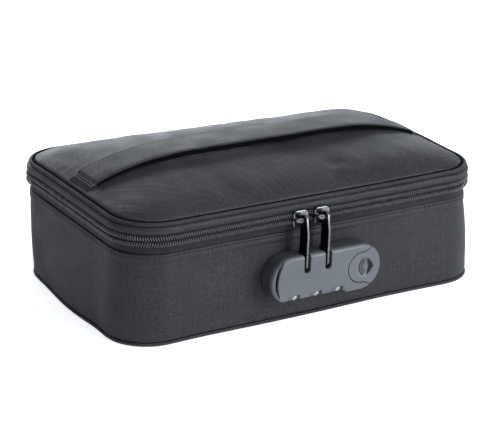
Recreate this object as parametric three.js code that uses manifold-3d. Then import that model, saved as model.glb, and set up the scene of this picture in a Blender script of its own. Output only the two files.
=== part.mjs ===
// Lockable padded case for model batteries: a zipped fabric box with a padded lid, a carry strap
// and a three-dial lock that holds the two zip pullers. Units are millimetres, +X runs to the
// right along the front, +Y to the back and +Z up. The origin is the centre of the resting face.
import * as THREE from "three";
import { mergeVertices } from "three/addons/utils/BufferGeometryUtils.js";
import Module from "manifold-3d";

const wasm = await Module();
wasm.setup();

// Driving dimensions: half length, half width and corner radius of the two main outlines.
const GAP = 0.3;
const BODY = { halfX: 127.5, halfY: 77.5, radius: 27.5 };
const LID = { halfX: 129, halfY: 80, radius: 29.5 };
const CORNER_STEPS = 7;

// Heights of the body's layers.
const BASE_PANEL_TOP = 1.0;
const BASE_BOARD_TOP = 3.1;
const BASE_FOAM_TOP = 6.4;
const LINER_FLOOR_TOP = 7.5;
const PIPING_RADIUS = 2.2;
const WALL_BOTTOM = 4.7;
const WALL_TOP = 57;
const WALL_CLOTH = 1.2;
const FOAM_INSET = { outer: 1.5, inner: 5.5 };
const LINER_CLOTH = 0.8;
const RIM_DROP = 1.4;

// Zip: heights, tape and coil.
const ZIP_Z = 65.5;
const COIL_HALF = 3.5;
const COIL_DEPTH = 2.2;
const COIL_STANDS_OUT = 0.3;
const TAPE_THICK = 0.6;
const TAPE_HALF_X = 126.8;
const TAPE_HALF_Y = 77.8;
const HINGE_HALF = 88;

// Lid: band, piping and padded dome.
const BAND_BOTTOM = 69.4;
const BAND_TOP = 73.8;
const LID_PIPING_RADIUS = 1.4;
const LID_PIPING_Z = 75.4;
const PANEL_INSET = 4.3;
const PANEL_RIM_Z = 76;
const PANEL_RISE = 11.6;
const PANEL_CLOTH = 1.2;
const LID_FOAM_BOTTOM = 70.6;
const LID_LINER_BOTTOM = 69.6;

// Carry strap along the lid's middle.
const STRAP = { y: -2, width: 25, thick: 3.2, freeHalf: 108, endHalf: 123.5 };
const STRAP_LIFT = { end: 0.5, middle: 3.2, rampLength: 60 };

// Lock, on the front wall: the outline's end centres, its radius and its depths.
const LOCK = { left: -24.3, right: 24.2, z: 30.25, radius: 14.75 };
const LOCK_FACE_Y = -92;
const LOCK_CASE_BACK_Y = -79.5;
const LOCK_BASE = { front: -79.2, back: -77.8 };
const LOCK_SHELL = 1.8;
const LOCK_EDGE = 3;
const PULLER_X = [-14.85, 0.15];
const SLOT = { width: 4.7, bottom: 33.7 };
const DIAL_X = [-23.8, -8.2, 7.2];
const DIAL = { y: -85.4, z: 21.2, radius: 5.6, width: 8, bore: 1.9 };
const DIAL_POCKET = { front: -91.3, back: -80, top: 27.2, side: 0.4, windowTop: 20.8 };
const SLEEVE_RADIUS = 1.6;
const AXLE_RADIUS = 0.8;
const DIAL_CUT_Z = 17.5;
const BUTTON = { x: 24.8, z: 30.5, radius: 9.6, arcFrom: 80, neckX: 32.2, neckZ: [18.2, 42.8] };
const BUTTON_SEAM = 0.35;
const BEYOND = { right: 60, front: -100, back: -70, bottom: 0, top: 50 };
const SCREWS = { x: 29, z: 30.25, radius: 1.5, head: 3, headThick: 1.3, inner: -68.8, outer: -78.2 };
const BACKING = { back: -69.2, front: -70.4, radius: 9 };
const DIAL_FLAT = { left: -31, right: 13 };
const LATCH = { left: -25.5, right: 14.8, front: -83.2, back: -81.4, bottom: 35.4, top: 39.8 };
const LATCH_PIN = { root: 7, armThick: 2, reach: 1.5, armBack: -82 };
const LATCH_SPRING = { left: -24, right: -10.5, front: -84, back: -81, bottom: 40.2, top: 40.6 };
const DIAL_AXLE = { left: -31.4, right: 13.6 };
const SLEEVE_END = 1.6;
const DIAL_SPRING = { left: -28, right: 11.4, front: -83.5, back: -80.2, bottom: 27.4, top: 27.8 };
const DIAL_FINGER = { halfX: 2, front: -88.5, back: -82.5 };
const DISH = { radius: 16, offsetX: 1, centreY: LOCK_FACE_Y - 14.2 };
const ARROW = { depth: 4.5, corners: [[28.6, 24.2], [32.6, 30.2], [28.2, 35.8], [29.6, 30.2]] };

// Zip slider crown: the axis that a puller swings about.
const CROWN = { y: -86.4, z: 65.5, thickY: 1.6, thickZ: 2.2 };
const PULLER_THICK = 1.5;
const PIN = { y: -88.2, z: 38.2, radius: 1, eye: 1.6 };
const PULLER = { head: 3.4, headEye: 2, tip: 3.1, taperZ: 46 };
const SLIDER_FACE = { halfX: 5, front: -82.6, back: -80.8, bottom: 61.2, top: 69.8 };
const SLIDER_LIP = { halfX: 4, front: -81.5, back: -78.6, bottom: 60.1, top: 61.5 };
const CROWN_LEG = { offsetX: 3.7, halfX: 1 };

// Geometry helpers ---------------------------------------------------------------------------

function closedGeometry(positions, triangles) {
  const geometry = new THREE.BufferGeometry();
  geometry.setAttribute("position", new THREE.Float32BufferAttribute(positions, 3));
  geometry.setIndex(triangles);
  return geometry;
}

function toSolid(geometry) {
  const bare = geometry.clone();
  bare.deleteAttribute("normal");
  bare.deleteAttribute("uv");
  const merged = mergeVertices(bare, 1e-4);
  return new wasm.Manifold(new wasm.Mesh({
    numProp: 3,
    vertProperties: new Float32Array(merged.attributes.position.array),
    triVerts: new Uint32Array(merged.index.array),
  }));
}

function toGeometry(solid) {
  const mesh = solid.getMesh();
  return closedGeometry(Array.from(mesh.vertProperties), Array.from(mesh.triVerts));
}

function cut(geometry, ...tools) {
  return toGeometry(tools.reduce((solid, tool) => solid.subtract(toSolid(tool)), toSolid(geometry)));
}

function join(first, ...others) {
  return toGeometry(others.reduce((solid, other) => solid.add(toSolid(other)), toSolid(first)));
}

function common(first, second) {
  return toGeometry(toSolid(first).intersect(toSolid(second)));
}

// An axis-aligned box from its low and high corners.
function boxBetween(low, high) {
  const size = high.map((value, axis) => value - low[axis]);
  const geometry = new THREE.BoxGeometry(...size);
  geometry.translate(...low.map((value, axis) => value + size[axis] / 2));
  return geometry;
}

// Points round a rounded rectangle, anticlockwise from above, each with its outward normal.
function roundedPath({ halfX, halfY, radius }, inset = 0) {
  const points = [];
  for (let quarter = 0; quarter < 4; quarter += 1) {
    const centreX = (quarter === 0 || quarter === 3 ? 1 : -1) * (halfX - radius);
    const centreY = (quarter < 2 ? 1 : -1) * (halfY - radius);
    for (let step = 0; step <= CORNER_STEPS; step += 1) {
      const angle = (quarter + step / CORNER_STEPS) * Math.PI / 2;
      const nx = Math.cos(angle);
      const ny = Math.sin(angle);
      points.push({ x: centreX + (radius - inset) * nx, y: centreY + (radius - inset) * ny, nx, ny });
    }
  }
  return points;
}

// Joins rows of equal length into a skin, row i to row i + 1 and round again to row 0.
function skin(rowCount, rowLength, closeRow) {
  const triangles = [];
  const last = closeRow ? rowLength : rowLength - 1;
  for (let i = 0; i < rowCount; i += 1) {
    const next = (i + 1) % rowCount;
    for (let j = 0; j < last; j += 1) {
      const up = (j + 1) % rowLength;
      const corners = [i * rowLength + j, next * rowLength + j, next * rowLength + up, i * rowLength + up];
      triangles.push(corners[0], corners[1], corners[2], corners[0], corners[2], corners[3]);
    }
  }
  return triangles;
}

// A profile of [outward, z] points, anticlockwise, carried round a rounded rectangle.
function sweptRing(path, profile) {
  const rowAt = (p) => profile.flatMap(([out, z]) => [p.x + p.nx * out, p.y + p.ny * out, z]);
  const positions = path.flatMap(rowAt);
  return closedGeometry(positions, skin(path.length, profile.length, true));
}

// A flat upright band: a ring between two insets from an outline and two heights.
function band(outline, insetOuter, insetInner, bottom, top) {
  return sweptRing(roundedPath(outline), [
    [-insetInner, bottom], [-insetOuter, bottom], [-insetOuter, top], [-insetInner, top],
  ]);
}

// A round cord laid along an outline.
function cord(outline, inset, z, radius) {
  const sides = 8;
  const profile = Array.from({ length: sides }, (_, side) => {
    const angle = (side + 0.5) / sides * Math.PI * 2;
    return [Math.cos(angle) * radius - inset, z + Math.sin(angle) * radius];
  });
  return sweptRing(roundedPath(outline), profile);
}

// A box given by its named sides, either in place or centred on x with a half width.
function slab({ left, right, halfX, front, back, bottom, top }, x = 0) {
  const [low, high] = halfX === undefined ? [left, right] : [x - halfX, x + halfX];
  return boxBetween([low, front, bottom], [high, back, top]);
}

// A level rounded plate, from bottom to top.
function plate(outline, inset, bottom, top) {
  const points = roundedPath(outline, inset).map((p) => new THREE.Vector2(p.x, p.y));
  const shape = new THREE.Shape(points);
  const geometry = new THREE.ExtrudeGeometry(shape, { depth: top - bottom, bevelEnabled: false });
  geometry.translate(0, 0, bottom);
  return geometry;
}

// A padded sheet: height is a function of the share of the way from the rim to the middle line.
function pad(outline, inset, bottomAt, topAt) {
  const shares = [0, 0.09, 0.24, 0.46, 0.74];
  const ridge = outline.halfX - outline.halfY;
  const profile = [...shares.map((t) => [t, bottomAt(t)]).reverse(), ...shares.map((t) => [t, topAt(t)])];
  const path = roundedPath(outline, inset);
  const positions = path.flatMap((p) => profile.flatMap(([t, z]) => {
    const ridgeX = THREE.MathUtils.clamp(p.x, -ridge, ridge);
    return [p.x + (ridgeX - p.x) * t, p.y * (1 - t), z];
  }));
  const triangles = skin(path.length, profile.length, false);
  const lowCentre = positions.length / 3;
  positions.push(0, 0, bottomAt(1), 0, 0, topAt(1));
  path.forEach((_, i) => {
    const here = i * profile.length;
    const next = ((i + 1) % path.length) * profile.length;
    triangles.push(lowCentre, next, here);
    triangles.push(lowCentre + 1, here + profile.length - 1, next + profile.length - 1);
  });
  return closedGeometry(positions, triangles);
}

// Shape drawn in x and z, extruded towards the front (-Y) from backY to frontY.
function extrudeForward(shape, backY, frontY, curveSegments = 10) {
  const settings = { depth: backY - frontY, bevelEnabled: false, curveSegments };
  const geometry = new THREE.ExtrudeGeometry(shape, settings);
  geometry.rotateX(Math.PI / 2);
  geometry.translate(0, backY, 0);
  return geometry;
}

// Shape drawn in y and z, extruded along +X from lowX.
function extrudeSideways(shape, lowX, width, curveSegments = 10) {
  const geometry = new THREE.ExtrudeGeometry(shape, { depth: width, bevelEnabled: false, curveSegments });
  const turn = new THREE.Matrix4().makeBasis(
    new THREE.Vector3(0, 1, 0), new THREE.Vector3(0, 0, 1), new THREE.Vector3(1, 0, 0));
  geometry.applyMatrix4(turn);
  geometry.translate(lowX, 0, 0);
  return geometry;
}

// A round bar or tube along X.
function tubeAlongX(y, z, radius, bore, lowX, width) {
  const shape = new THREE.Shape().absarc(y, z, radius, 0, Math.PI * 2);
  if (bore > 0) {
    shape.holes.push(new THREE.Path().absarc(y, z, bore, 0, Math.PI * 2));
  }
  return extrudeSideways(shape, lowX, width, 8);
}

// A round bar along Y, between two depths.
function barAlongY(x, z, radius, backY, frontY) {
  return extrudeForward(new THREE.Shape().absarc(x, z, radius, 0, Math.PI * 2), backY, frontY, 8);
}

function screwHoles(radius) {
  return [-SCREWS.x, SCREWS.x].map((x) => barAlongY(x, SCREWS.z, radius, -60, -85));
}

// Materials ----------------------------------------------------------------------------------

function finish(color, roughness, metalness = 0) {
  return new THREE.MeshStandardMaterial({ color, roughness, metalness });
}

const nylon = finish(0x26272a, 0.75);
const trim = finish(0x1c1d20, 0.7);
const zipTape = finish(0x17181a, 0.85);
const zipCoil = finish(0x1b1b1e, 0.45);
const foam = finish(0x3a3b3d, 0.95);
const board = finish(0x2b2b2d, 0.8);
const lining = finish(0x8f8f8a, 0.7);
const lockPlastic = finish(0x3b3d42, 0.45);
const gunmetal = finish(0x55565c, 0.3, 0.9);
const steel = finish(0x9a9ca0, 0.35, 0.9);

const caseGroup = new THREE.Group();

function add(name, geometry, material) {
  const mesh = new THREE.Mesh(geometry, material);
  mesh.name = name;
  caseGroup.add(mesh);
}

// Body: walls, base and lining ---------------------------------------------------------------

function addBodyShell() {
  const holes = screwHoles(SCREWS.radius + GAP);
  const linerInset = FOAM_INSET.inner + GAP;
  add("body_wall", cut(band(BODY, 0, WALL_CLOTH, WALL_BOTTOM, WALL_TOP), ...holes), nylon);
  add("base_piping", cord(BODY, 1.2, PIPING_RADIUS * Math.cos(Math.PI / 8), PIPING_RADIUS), trim);
  add("base_panel", plate(BODY, 3.9, 0, BASE_PANEL_TOP), nylon);
  add("base_board", plate(BODY, 3.9, BASE_PANEL_TOP + GAP, BASE_BOARD_TOP), board);
  add("base_foam", plate(BODY, linerInset, BASE_BOARD_TOP + GAP, BASE_FOAM_TOP), foam);
  const foamRing = band(BODY, FOAM_INSET.outer, FOAM_INSET.inner, WALL_BOTTOM, WALL_TOP - RIM_DROP - GAP);
  add("wall_foam", cut(foamRing, ...holes), foam);
  const linerBlock = plate(BODY, linerInset, BASE_FOAM_TOP + GAP, WALL_TOP - RIM_DROP - GAP);
  const linerHollow = plate(BODY, linerInset + LINER_CLOTH, LINER_FLOOR_TOP, WALL_TOP);
  add("body_liner", cut(linerBlock, linerHollow, ...holes), lining);
  const rim = band(BODY, FOAM_INSET.outer, linerInset + LINER_CLOTH, WALL_TOP - RIM_DROP, WALL_TOP);
  add("rim_binding", rim, trim);
}

// Zip: two tapes and two coils that stop at the fabric hinge on the back ------------------------

function addZip() {
  const hingeZone = boxBetween([-HINGE_HALF, 60, 50], [HINGE_HALF, 90, 90]);
  const hingeZoneUpper = boxBetween([-HINGE_HALF, 60, 50], [HINGE_HALF, 90, BAND_BOTTOM + GAP]);
  const tape = { halfX: TAPE_HALF_X, halfY: TAPE_HALF_Y, radius: LID.radius - LID.halfY + TAPE_HALF_Y };
  const lowerTape = band(tape, 0, TAPE_THICK, WALL_TOP + GAP, ZIP_Z - GAP / 2);
  const upperTape = band(tape, 0, TAPE_THICK, ZIP_Z + GAP / 2, BAND_TOP - 0.5);
  const coilOuter = -COIL_STANDS_OUT;
  const coilInner = COIL_DEPTH - COIL_STANDS_OUT;
  const lowerCoil = band(LID, coilOuter, coilInner, ZIP_Z - COIL_HALF, ZIP_Z - GAP / 2);
  const upperCoil = band(LID, coilOuter, coilInner, ZIP_Z + GAP / 2, ZIP_Z + COIL_HALF);
  add("zip_tape_lower", cut(lowerTape, hingeZone), zipTape);
  add("zip_tape_upper", cut(upperTape, hingeZoneUpper), zipTape);
  add("zip_coil_lower", cut(lowerCoil, hingeZone), zipCoil);
  add("zip_coil_upper", cut(upperCoil, hingeZone), zipCoil);
  const half = HINGE_HALF - 0.5;
  add("hinge_strip", boxBetween([-half, 78.2, WALL_TOP + GAP], [half, 79.4, BAND_BOTTOM - GAP]), nylon);
}

// Lid: band, piping, padded panel, foam and lining ----------------------------------------------

function domeAt(share) {
  return PANEL_RIM_Z + PANEL_RISE * (1 - (1 - share) ** 2.2);
}

function addLid() {
  const foamDrop = PANEL_CLOTH + GAP;
  add("lid_band", band(LID, 0, WALL_CLOTH, BAND_BOTTOM, BAND_TOP), nylon);
  add("lid_piping", cord(LID, 2.1, LID_PIPING_Z, LID_PIPING_RADIUS), trim);
  add("lid_panel", pad(LID, PANEL_INSET, (t) => domeAt(t) - PANEL_CLOTH, domeAt), nylon);
  add("lid_foam", pad(LID, PANEL_INSET + 0.4, () => LID_FOAM_BOTTOM, (t) => domeAt(t) - foamDrop), foam);
  add("lid_liner", plate(LID, PANEL_INSET + 0.4, LID_LINER_BOTTOM, LID_FOAM_BOTTOM - GAP), lining);
  add("lid_binding", band(LID, 3.2, 4.3, BAND_BOTTOM - 0.2, BAND_TOP - 1.5), trim);
}

// Carry strap: the free middle and the two ends sewn down on the lid -----------------------------

function lidSurface(x) {
  const rim = LID.halfX - PANEL_INSET;
  const ridge = LID.halfX - LID.halfY;
  const share = THREE.MathUtils.clamp((rim - Math.abs(x)) / (rim - ridge), 0, 1);
  return domeAt(share);
}

function strapPiece(fromX, toX, steps, gapAt) {
  const stations = Array.from({ length: steps + 1 }, (_, i) => fromX + (toX - fromX) * i / steps);
  const under = stations.map((x) => new THREE.Vector2(x, lidSurface(x) + gapAt(x)));
  const over = stations.map((x) => new THREE.Vector2(x, lidSurface(x) + gapAt(x) + STRAP.thick)).reverse();
  const shape = new THREE.Shape([...under, ...over]);
  return extrudeForward(shape, STRAP.y + STRAP.width / 2, STRAP.y - STRAP.width / 2);
}

function addStrap() {
  const ramp = (x) => Math.min(1, (STRAP.freeHalf - Math.abs(x)) / STRAP_LIFT.rampLength);
  const lift = (x) => STRAP_LIFT.end + STRAP_LIFT.middle * ramp(x);
  add("handle_strap", strapPiece(-STRAP.freeHalf, STRAP.freeHalf, 32, lift), trim);
  add("handle_end_left", strapPiece(-STRAP.endHalf, -STRAP.freeHalf - GAP, 4, () => STRAP_LIFT.end), trim);
  add("handle_end_right", strapPiece(STRAP.freeHalf + GAP, STRAP.endHalf, 4, () => STRAP_LIFT.end), trim);
}

// Lock: case, button, dials, latch and fixings ---------------------------------------------------

// The lock's outline: a bar with two round ends, grown or shrunk by an offset.
function lockOutline(offset) {
  const shape = new THREE.Shape();
  shape.absarc(LOCK.right, LOCK.z, LOCK.radius + offset, -Math.PI / 2, Math.PI / 2);
  shape.absarc(LOCK.left, LOCK.z, LOCK.radius + offset, Math.PI / 2, Math.PI * 1.5);
  return shape;
}

// The lock's full block with a rounded front edge.
function lockBlock() {
  const depth = LOCK_CASE_BACK_Y - LOCK_FACE_Y;
  const geometry = new THREE.ExtrudeGeometry(lockOutline(-LOCK_EDGE), {
    depth, bevelThickness: LOCK_EDGE, bevelSize: LOCK_EDGE, bevelSegments: 3, curveSegments: 10,
  });
  geometry.rotateX(Math.PI / 2);
  geometry.translate(0, LOCK_CASE_BACK_Y + LOCK_EDGE, 0);
  return cut(geometry, slab({ ...BEYOND, left: -BEYOND.right, front: LOCK_CASE_BACK_Y }));
}

// The button's outline on the lock face: a round thumb pad that widens out through the right end.
function buttonOutline(offset) {
  const [low, high] = BUTTON.neckZ;
  const start = THREE.MathUtils.degToRad(BUTTON.arcFrom);
  const shape = new THREE.Shape();
  shape.absarc(BUTTON.x, BUTTON.z, BUTTON.radius + offset, start, Math.PI * 2 - start);
  shape.lineTo(BUTTON.neckX, low - offset);
  shape.lineTo(BEYOND.right, low - offset);
  shape.lineTo(BEYOND.right, high + offset);
  shape.lineTo(BUTTON.neckX, high + offset);
  return extrudeForward(shape, BEYOND.back, BEYOND.front, 14);
}

// A dial shows through a window at the case's lower edge and turns in a pocket behind the face.
function dialWindow(x) {
  const sides = { halfX: DIAL.width / 2 + DIAL_POCKET.side, back: DIAL_POCKET.back, bottom: BEYOND.bottom };
  const window = slab({ ...sides, front: BEYOND.front, top: DIAL_POCKET.windowTop }, x);
  const pocket = slab({ ...sides, front: DIAL_POCKET.front, top: DIAL_POCKET.top }, x);
  return join(window, pocket);
}

function pullerSlot(x) {
  const half = SLOT.width / 2;
  const upright = slab({ ...BEYOND, halfX: half, bottom: SLOT.bottom + half }, x);
  return join(upright, barAlongY(x, SLOT.bottom + half, half, BEYOND.back, BEYOND.front));
}

// The block that flattens the case's lower edge under the dials, grown by an offset.
function flatUnderDials(offset) {
  return boxBetween(
    [DIAL_FLAT.left - offset, BEYOND.front, BEYOND.bottom],
    [DIAL_FLAT.right + offset, BEYOND.back, DIAL_CUT_Z + offset]);
}

function addLockCase() {
  const dialFlat = flatUnderDials(0);
  const hollow = extrudeForward(lockOutline(-LOCK_SHELL), BEYOND.back, LOCK_FACE_Y + LOCK_SHELL);
  const hollowAboveFlat = cut(hollow, flatUnderDials(LOCK_SHELL));
  const windows = DIAL_X.map(dialWindow);
  const slots = PULLER_X.map(pullerSlot);
  const shell = cut(lockBlock(), dialFlat, hollowAboveFlat, buttonOutline(BUTTON_SEAM), ...windows, ...slots);
  add("lock_case", shell, lockPlastic);
  const base = extrudeForward(lockOutline(-0.8), LOCK_BASE.back, LOCK_BASE.front);
  add("lock_base", cut(base, dialFlat, ...screwHoles(SCREWS.radius + GAP)), lockPlastic);
}

function addLockFixings() {
  const outline = lockOutline(BACKING.radius - LOCK.radius);
  const backing = extrudeForward(outline, BACKING.back, BACKING.front);
  add("lock_backing_plate", cut(backing, ...screwHoles(SCREWS.radius + GAP)), steel);
  for (const [side, x] of [["left", -SCREWS.x], ["right", SCREWS.x]]) {
    const shank = barAlongY(x, SCREWS.z, SCREWS.radius, SCREWS.inner, SCREWS.outer);
    const head = barAlongY(x, SCREWS.z, SCREWS.head, SCREWS.inner + SCREWS.headThick, SCREWS.inner);
    add(`lock_screw_${side}`, join(shank, head), steel);
  }
}

// The slide button with its dished thumb rest and arrow-shaped recess.
function addLockButton() {
  const outline = common(lockBlock(), buttonOutline(0));
  const dish = new THREE.SphereGeometry(DISH.radius, 28, 18);
  dish.translate(BUTTON.x + DISH.offsetX, DISH.centreY, BUTTON.z);
  const arrow = new THREE.Shape(ARROW.corners.map(([x, z]) => new THREE.Vector2(x, z)));
  const recess = extrudeForward(arrow, LOCK_FACE_Y + ARROW.depth, BEYOND.front);
  add("lock_button", cut(outline, dish, recess), lockPlastic);
}

// The latch bar slides with the button; its pins pass through the pullers' eyes.
function addLatch() {
  const bar = slab(LATCH);
  const armHalf = PIN.radius + 0.4;
  const pins = PULLER_X.flatMap((x) => {
    const root = x - LATCH_PIN.root;
    return [
      boxBetween([root, PIN.y - armHalf, PIN.z - armHalf],
        [root + LATCH_PIN.armThick, LATCH_PIN.armBack, PIN.z + armHalf]),
      tubeAlongX(PIN.y, PIN.z, PIN.radius, 0, root + 1, LATCH_PIN.root - LATCH_PIN.reach - 1),
    ];
  });
  add("latch_bar", join(bar, ...pins), steel);
  add("latch_detent_spring", slab(LATCH_SPRING), steel);
}

function addDials() {
  const names = ["left", "middle", "right"];
  DIAL_X.forEach((x, i) => {
    const lowX = x - DIAL.width / 2;
    const wheel = tubeAlongX(DIAL.y, DIAL.z, DIAL.radius, DIAL.bore, lowX, DIAL.width);
    add(`dial_${names[i]}`, wheel, lockPlastic);
    add(`dial_sleeve_${names[i]}`,
      tubeAlongX(DIAL.y, DIAL.z, SLEEVE_RADIUS, AXLE_RADIUS + GAP, lowX - SLEEVE_END,
        DIAL.width + 2 * SLEEVE_END), steel);
  });
  const axle = tubeAlongX(DIAL.y, DIAL.z, AXLE_RADIUS, 0, DIAL_AXLE.left, DIAL_AXLE.right - DIAL_AXLE.left);
  add("dial_axle", axle, steel);
  const fingers = DIAL_X.map((x) => slab({
    ...DIAL_SPRING, left: x - DIAL_FINGER.halfX, right: x + DIAL_FINGER.halfX,
    front: DIAL_FINGER.front, back: DIAL_FINGER.back,
  }));
  add("dial_detent_spring", join(slab(DIAL_SPRING), ...fingers), steel);
}

// Zip sliders and pullers ------------------------------------------------------------------------

function addSlider(side, x) {
  const legBack = SLIDER_FACE.front + 0.6;
  const [crownFront, crownBack] = [CROWN.y - CROWN.thickY / 2, CROWN.y + CROWN.thickY / 2];
  const [crownLow, crownHigh] = [CROWN.z - CROWN.thickZ / 2, CROWN.z + CROWN.thickZ / 2];
  const face = slab(SLIDER_FACE, x);
  const lip = slab(SLIDER_LIP, x);
  const leg = { halfX: CROWN_LEG.halfX, front: crownFront, back: legBack, bottom: crownLow, top: crownHigh };
  const legs = [-1, 1].map((sign) => slab(leg, x + sign * CROWN_LEG.offsetX));
  const half = CROWN_LEG.offsetX + CROWN_LEG.halfX;
  const bail = slab({ halfX: half, front: crownFront, back: crownBack, bottom: crownLow, top: crownHigh }, x);
  add(`slider_${side}`, join(face, lip, ...legs, bail), gunmetal);
}

// The puller hangs from the crown and leans out to the lock's slot; its tip has the latch eye.
function pullerOutline() {
  const shape = new THREE.Shape();
  shape.moveTo(CROWN.y - PULLER.head, CROWN.z);
  shape.lineTo(PIN.y - PULLER.tip, PULLER.taperZ);
  shape.lineTo(PIN.y - PULLER.tip, PIN.z);
  shape.absarc(PIN.y, PIN.z, PULLER.tip, Math.PI, Math.PI * 2);
  shape.lineTo(PIN.y + PULLER.tip, PULLER.taperZ);
  shape.lineTo(CROWN.y + PULLER.head, CROWN.z);
  shape.absarc(CROWN.y, CROWN.z, PULLER.head, 0, Math.PI);
  return shape;
}

function addPuller(side, x) {
  const shape = pullerOutline();
  shape.holes.push(new THREE.Path().absarc(CROWN.y, CROWN.z, PULLER.headEye, 0, Math.PI * 2));
  shape.holes.push(new THREE.Path().absarc(PIN.y, PIN.z, PIN.eye, 0, Math.PI * 2));
  add(`puller_${side}`, extrudeSideways(shape, x - PULLER_THICK / 2, PULLER_THICK), gunmetal);
}

addBodyShell();
addZip();
addLid();
addStrap();
addLockCase();
addLockFixings();
addLockButton();
addLatch();
addDials();
["left", "right"].forEach((side, i) => {
  addSlider(side, PULLER_X[i]);
  addPuller(side, PULLER_X[i]);
});

export default caseGroup;
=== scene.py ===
"""Looks of the zipped, padded case: cloth, zip, carry strap, dial lock, studio and camera.

Lengths are in millimetres until a mesh is made. +X is right along the front, +Y back, +Z up.
"""
import math

import bmesh
import bpy
import numpy as np
from mathutils import Matrix, Vector, noise


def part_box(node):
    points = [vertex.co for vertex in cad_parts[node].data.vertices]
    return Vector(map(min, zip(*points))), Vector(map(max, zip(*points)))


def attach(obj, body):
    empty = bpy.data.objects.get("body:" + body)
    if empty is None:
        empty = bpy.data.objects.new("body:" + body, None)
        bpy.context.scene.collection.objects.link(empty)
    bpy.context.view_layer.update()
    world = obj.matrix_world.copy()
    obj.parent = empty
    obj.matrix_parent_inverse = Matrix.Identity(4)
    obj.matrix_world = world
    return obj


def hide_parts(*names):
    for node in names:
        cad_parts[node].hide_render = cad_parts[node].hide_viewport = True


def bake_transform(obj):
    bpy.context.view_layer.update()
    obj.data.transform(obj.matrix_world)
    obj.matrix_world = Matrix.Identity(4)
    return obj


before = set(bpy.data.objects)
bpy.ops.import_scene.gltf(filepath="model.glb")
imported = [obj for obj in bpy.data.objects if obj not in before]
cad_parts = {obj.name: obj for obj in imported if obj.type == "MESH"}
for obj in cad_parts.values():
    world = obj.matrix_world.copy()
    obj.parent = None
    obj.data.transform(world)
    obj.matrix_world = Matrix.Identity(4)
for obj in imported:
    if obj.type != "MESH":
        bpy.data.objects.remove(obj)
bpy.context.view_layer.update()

MM = 0.001
TAU = 2 * math.pi


def box_mm(node):
    """Lowest and highest corners of a CAD node, in millimetres."""
    low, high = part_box(node)
    return np.array(low) / MM, np.array(high) / MM


class Outline:
    """A rounded rectangle seen from above, walked anticlockwise from the middle of its back side."""

    def __init__(self, half_x, half_y, radius):
        self.half_x, self.half_y, self.radius = half_x, half_y, radius
        flat_x, flat_y = half_x - radius, half_y - radius
        points = [(0.0, half_y, 0.0, 1.0)]
        for centre_x, centre_y, quarter in ((-flat_x, flat_y, 1), (-flat_x, -flat_y, 2),
                                            (flat_x, -flat_y, 3), (flat_x, flat_y, 4)):
            for angle in np.linspace(quarter, quarter + 1, 40) * math.pi / 2:
                nx, ny = math.cos(angle), math.sin(angle)
                points.append((centre_x + radius * nx, centre_y + radius * ny, nx, ny))
        points.append(points[0])
        self.table = np.array(points)
        steps = np.linalg.norm(np.diff(self.table[:, :2], axis=0), axis=1)
        self.walked = np.concatenate([[0.0], np.cumsum(steps)])
        self.length = self.walked[-1]

    def at(self, s):
        """Points and outward normals at walked lengths s."""
        s = np.mod(s, self.length)
        x, y, nx, ny = (np.interp(s, self.walked, column) for column in self.table.T)
        size = np.hypot(nx, ny)
        return x, y, nx / size, ny / size

    def corner_middle(self, corner):
        """Walked length at a corner's middle: 0 back left, 1 front left, 2 front right, 3 back right."""
        quarter = math.pi / 2 * self.radius
        flat_x, flat_y = self.half_x - self.radius, self.half_y - self.radius
        front_left = flat_x + quarter + 2 * flat_y
        front_right = front_left + quarter + 2 * flat_x
        back_right = front_left + 2 * quarter + 2 * flat_x + 2 * flat_y
        return (flat_x, front_left, front_right, back_right)[corner] + quarter / 2


# ---- Driving dimensions, read from the frame ----

wall_high = box_mm("body_wall")[1]
band_low, band_high = box_mm("lid_band")
panel_low, panel_high = box_mm("lid_panel")
coil_high = box_mm("zip_coil_lower")[1]
coil_up_low, coil_up_high = box_mm("zip_coil_upper")
lid_piping_low, lid_piping_high = box_mm("lid_piping")
strap_low, strap_high = box_mm("handle_strap")
case_low, case_high = box_mm("lock_case")
hinge_low, hinge_high = box_mm("hinge_strip")

BODY = Outline(wall_high[0], wall_high[1], 27.5)
LID = Outline(band_high[0], band_high[1], 29.5)
ZIP_Z = (coil_high[2] + coil_up_low[2]) / 2
HINGE_HALF = hinge_high[0] + 0.5


# ---- Sag of the soft case ----

def smooth_step(low, high, value):
    t = np.clip((value - low) / (high - low), 0, 1)
    return t * t * (3 - 2 * t)


def lobe(angle, centre, width):
    """A smooth bump of height 1 round a direction in degrees, 0 beyond its width."""
    off = np.abs((angle - centre + 180) % 360 - 180)
    return 0.5 + 0.5 * np.cos(math.pi * np.clip(off / width, 0, 1))


# How the side wall has spread at its foot: millimetres outwards, direction and half width in degrees.
FOOT_SPREAD = ((3.6, -175, 42), (-1.8, 138, 15), (2.4, -138, 20), (3.4, -36, 36))


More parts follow.
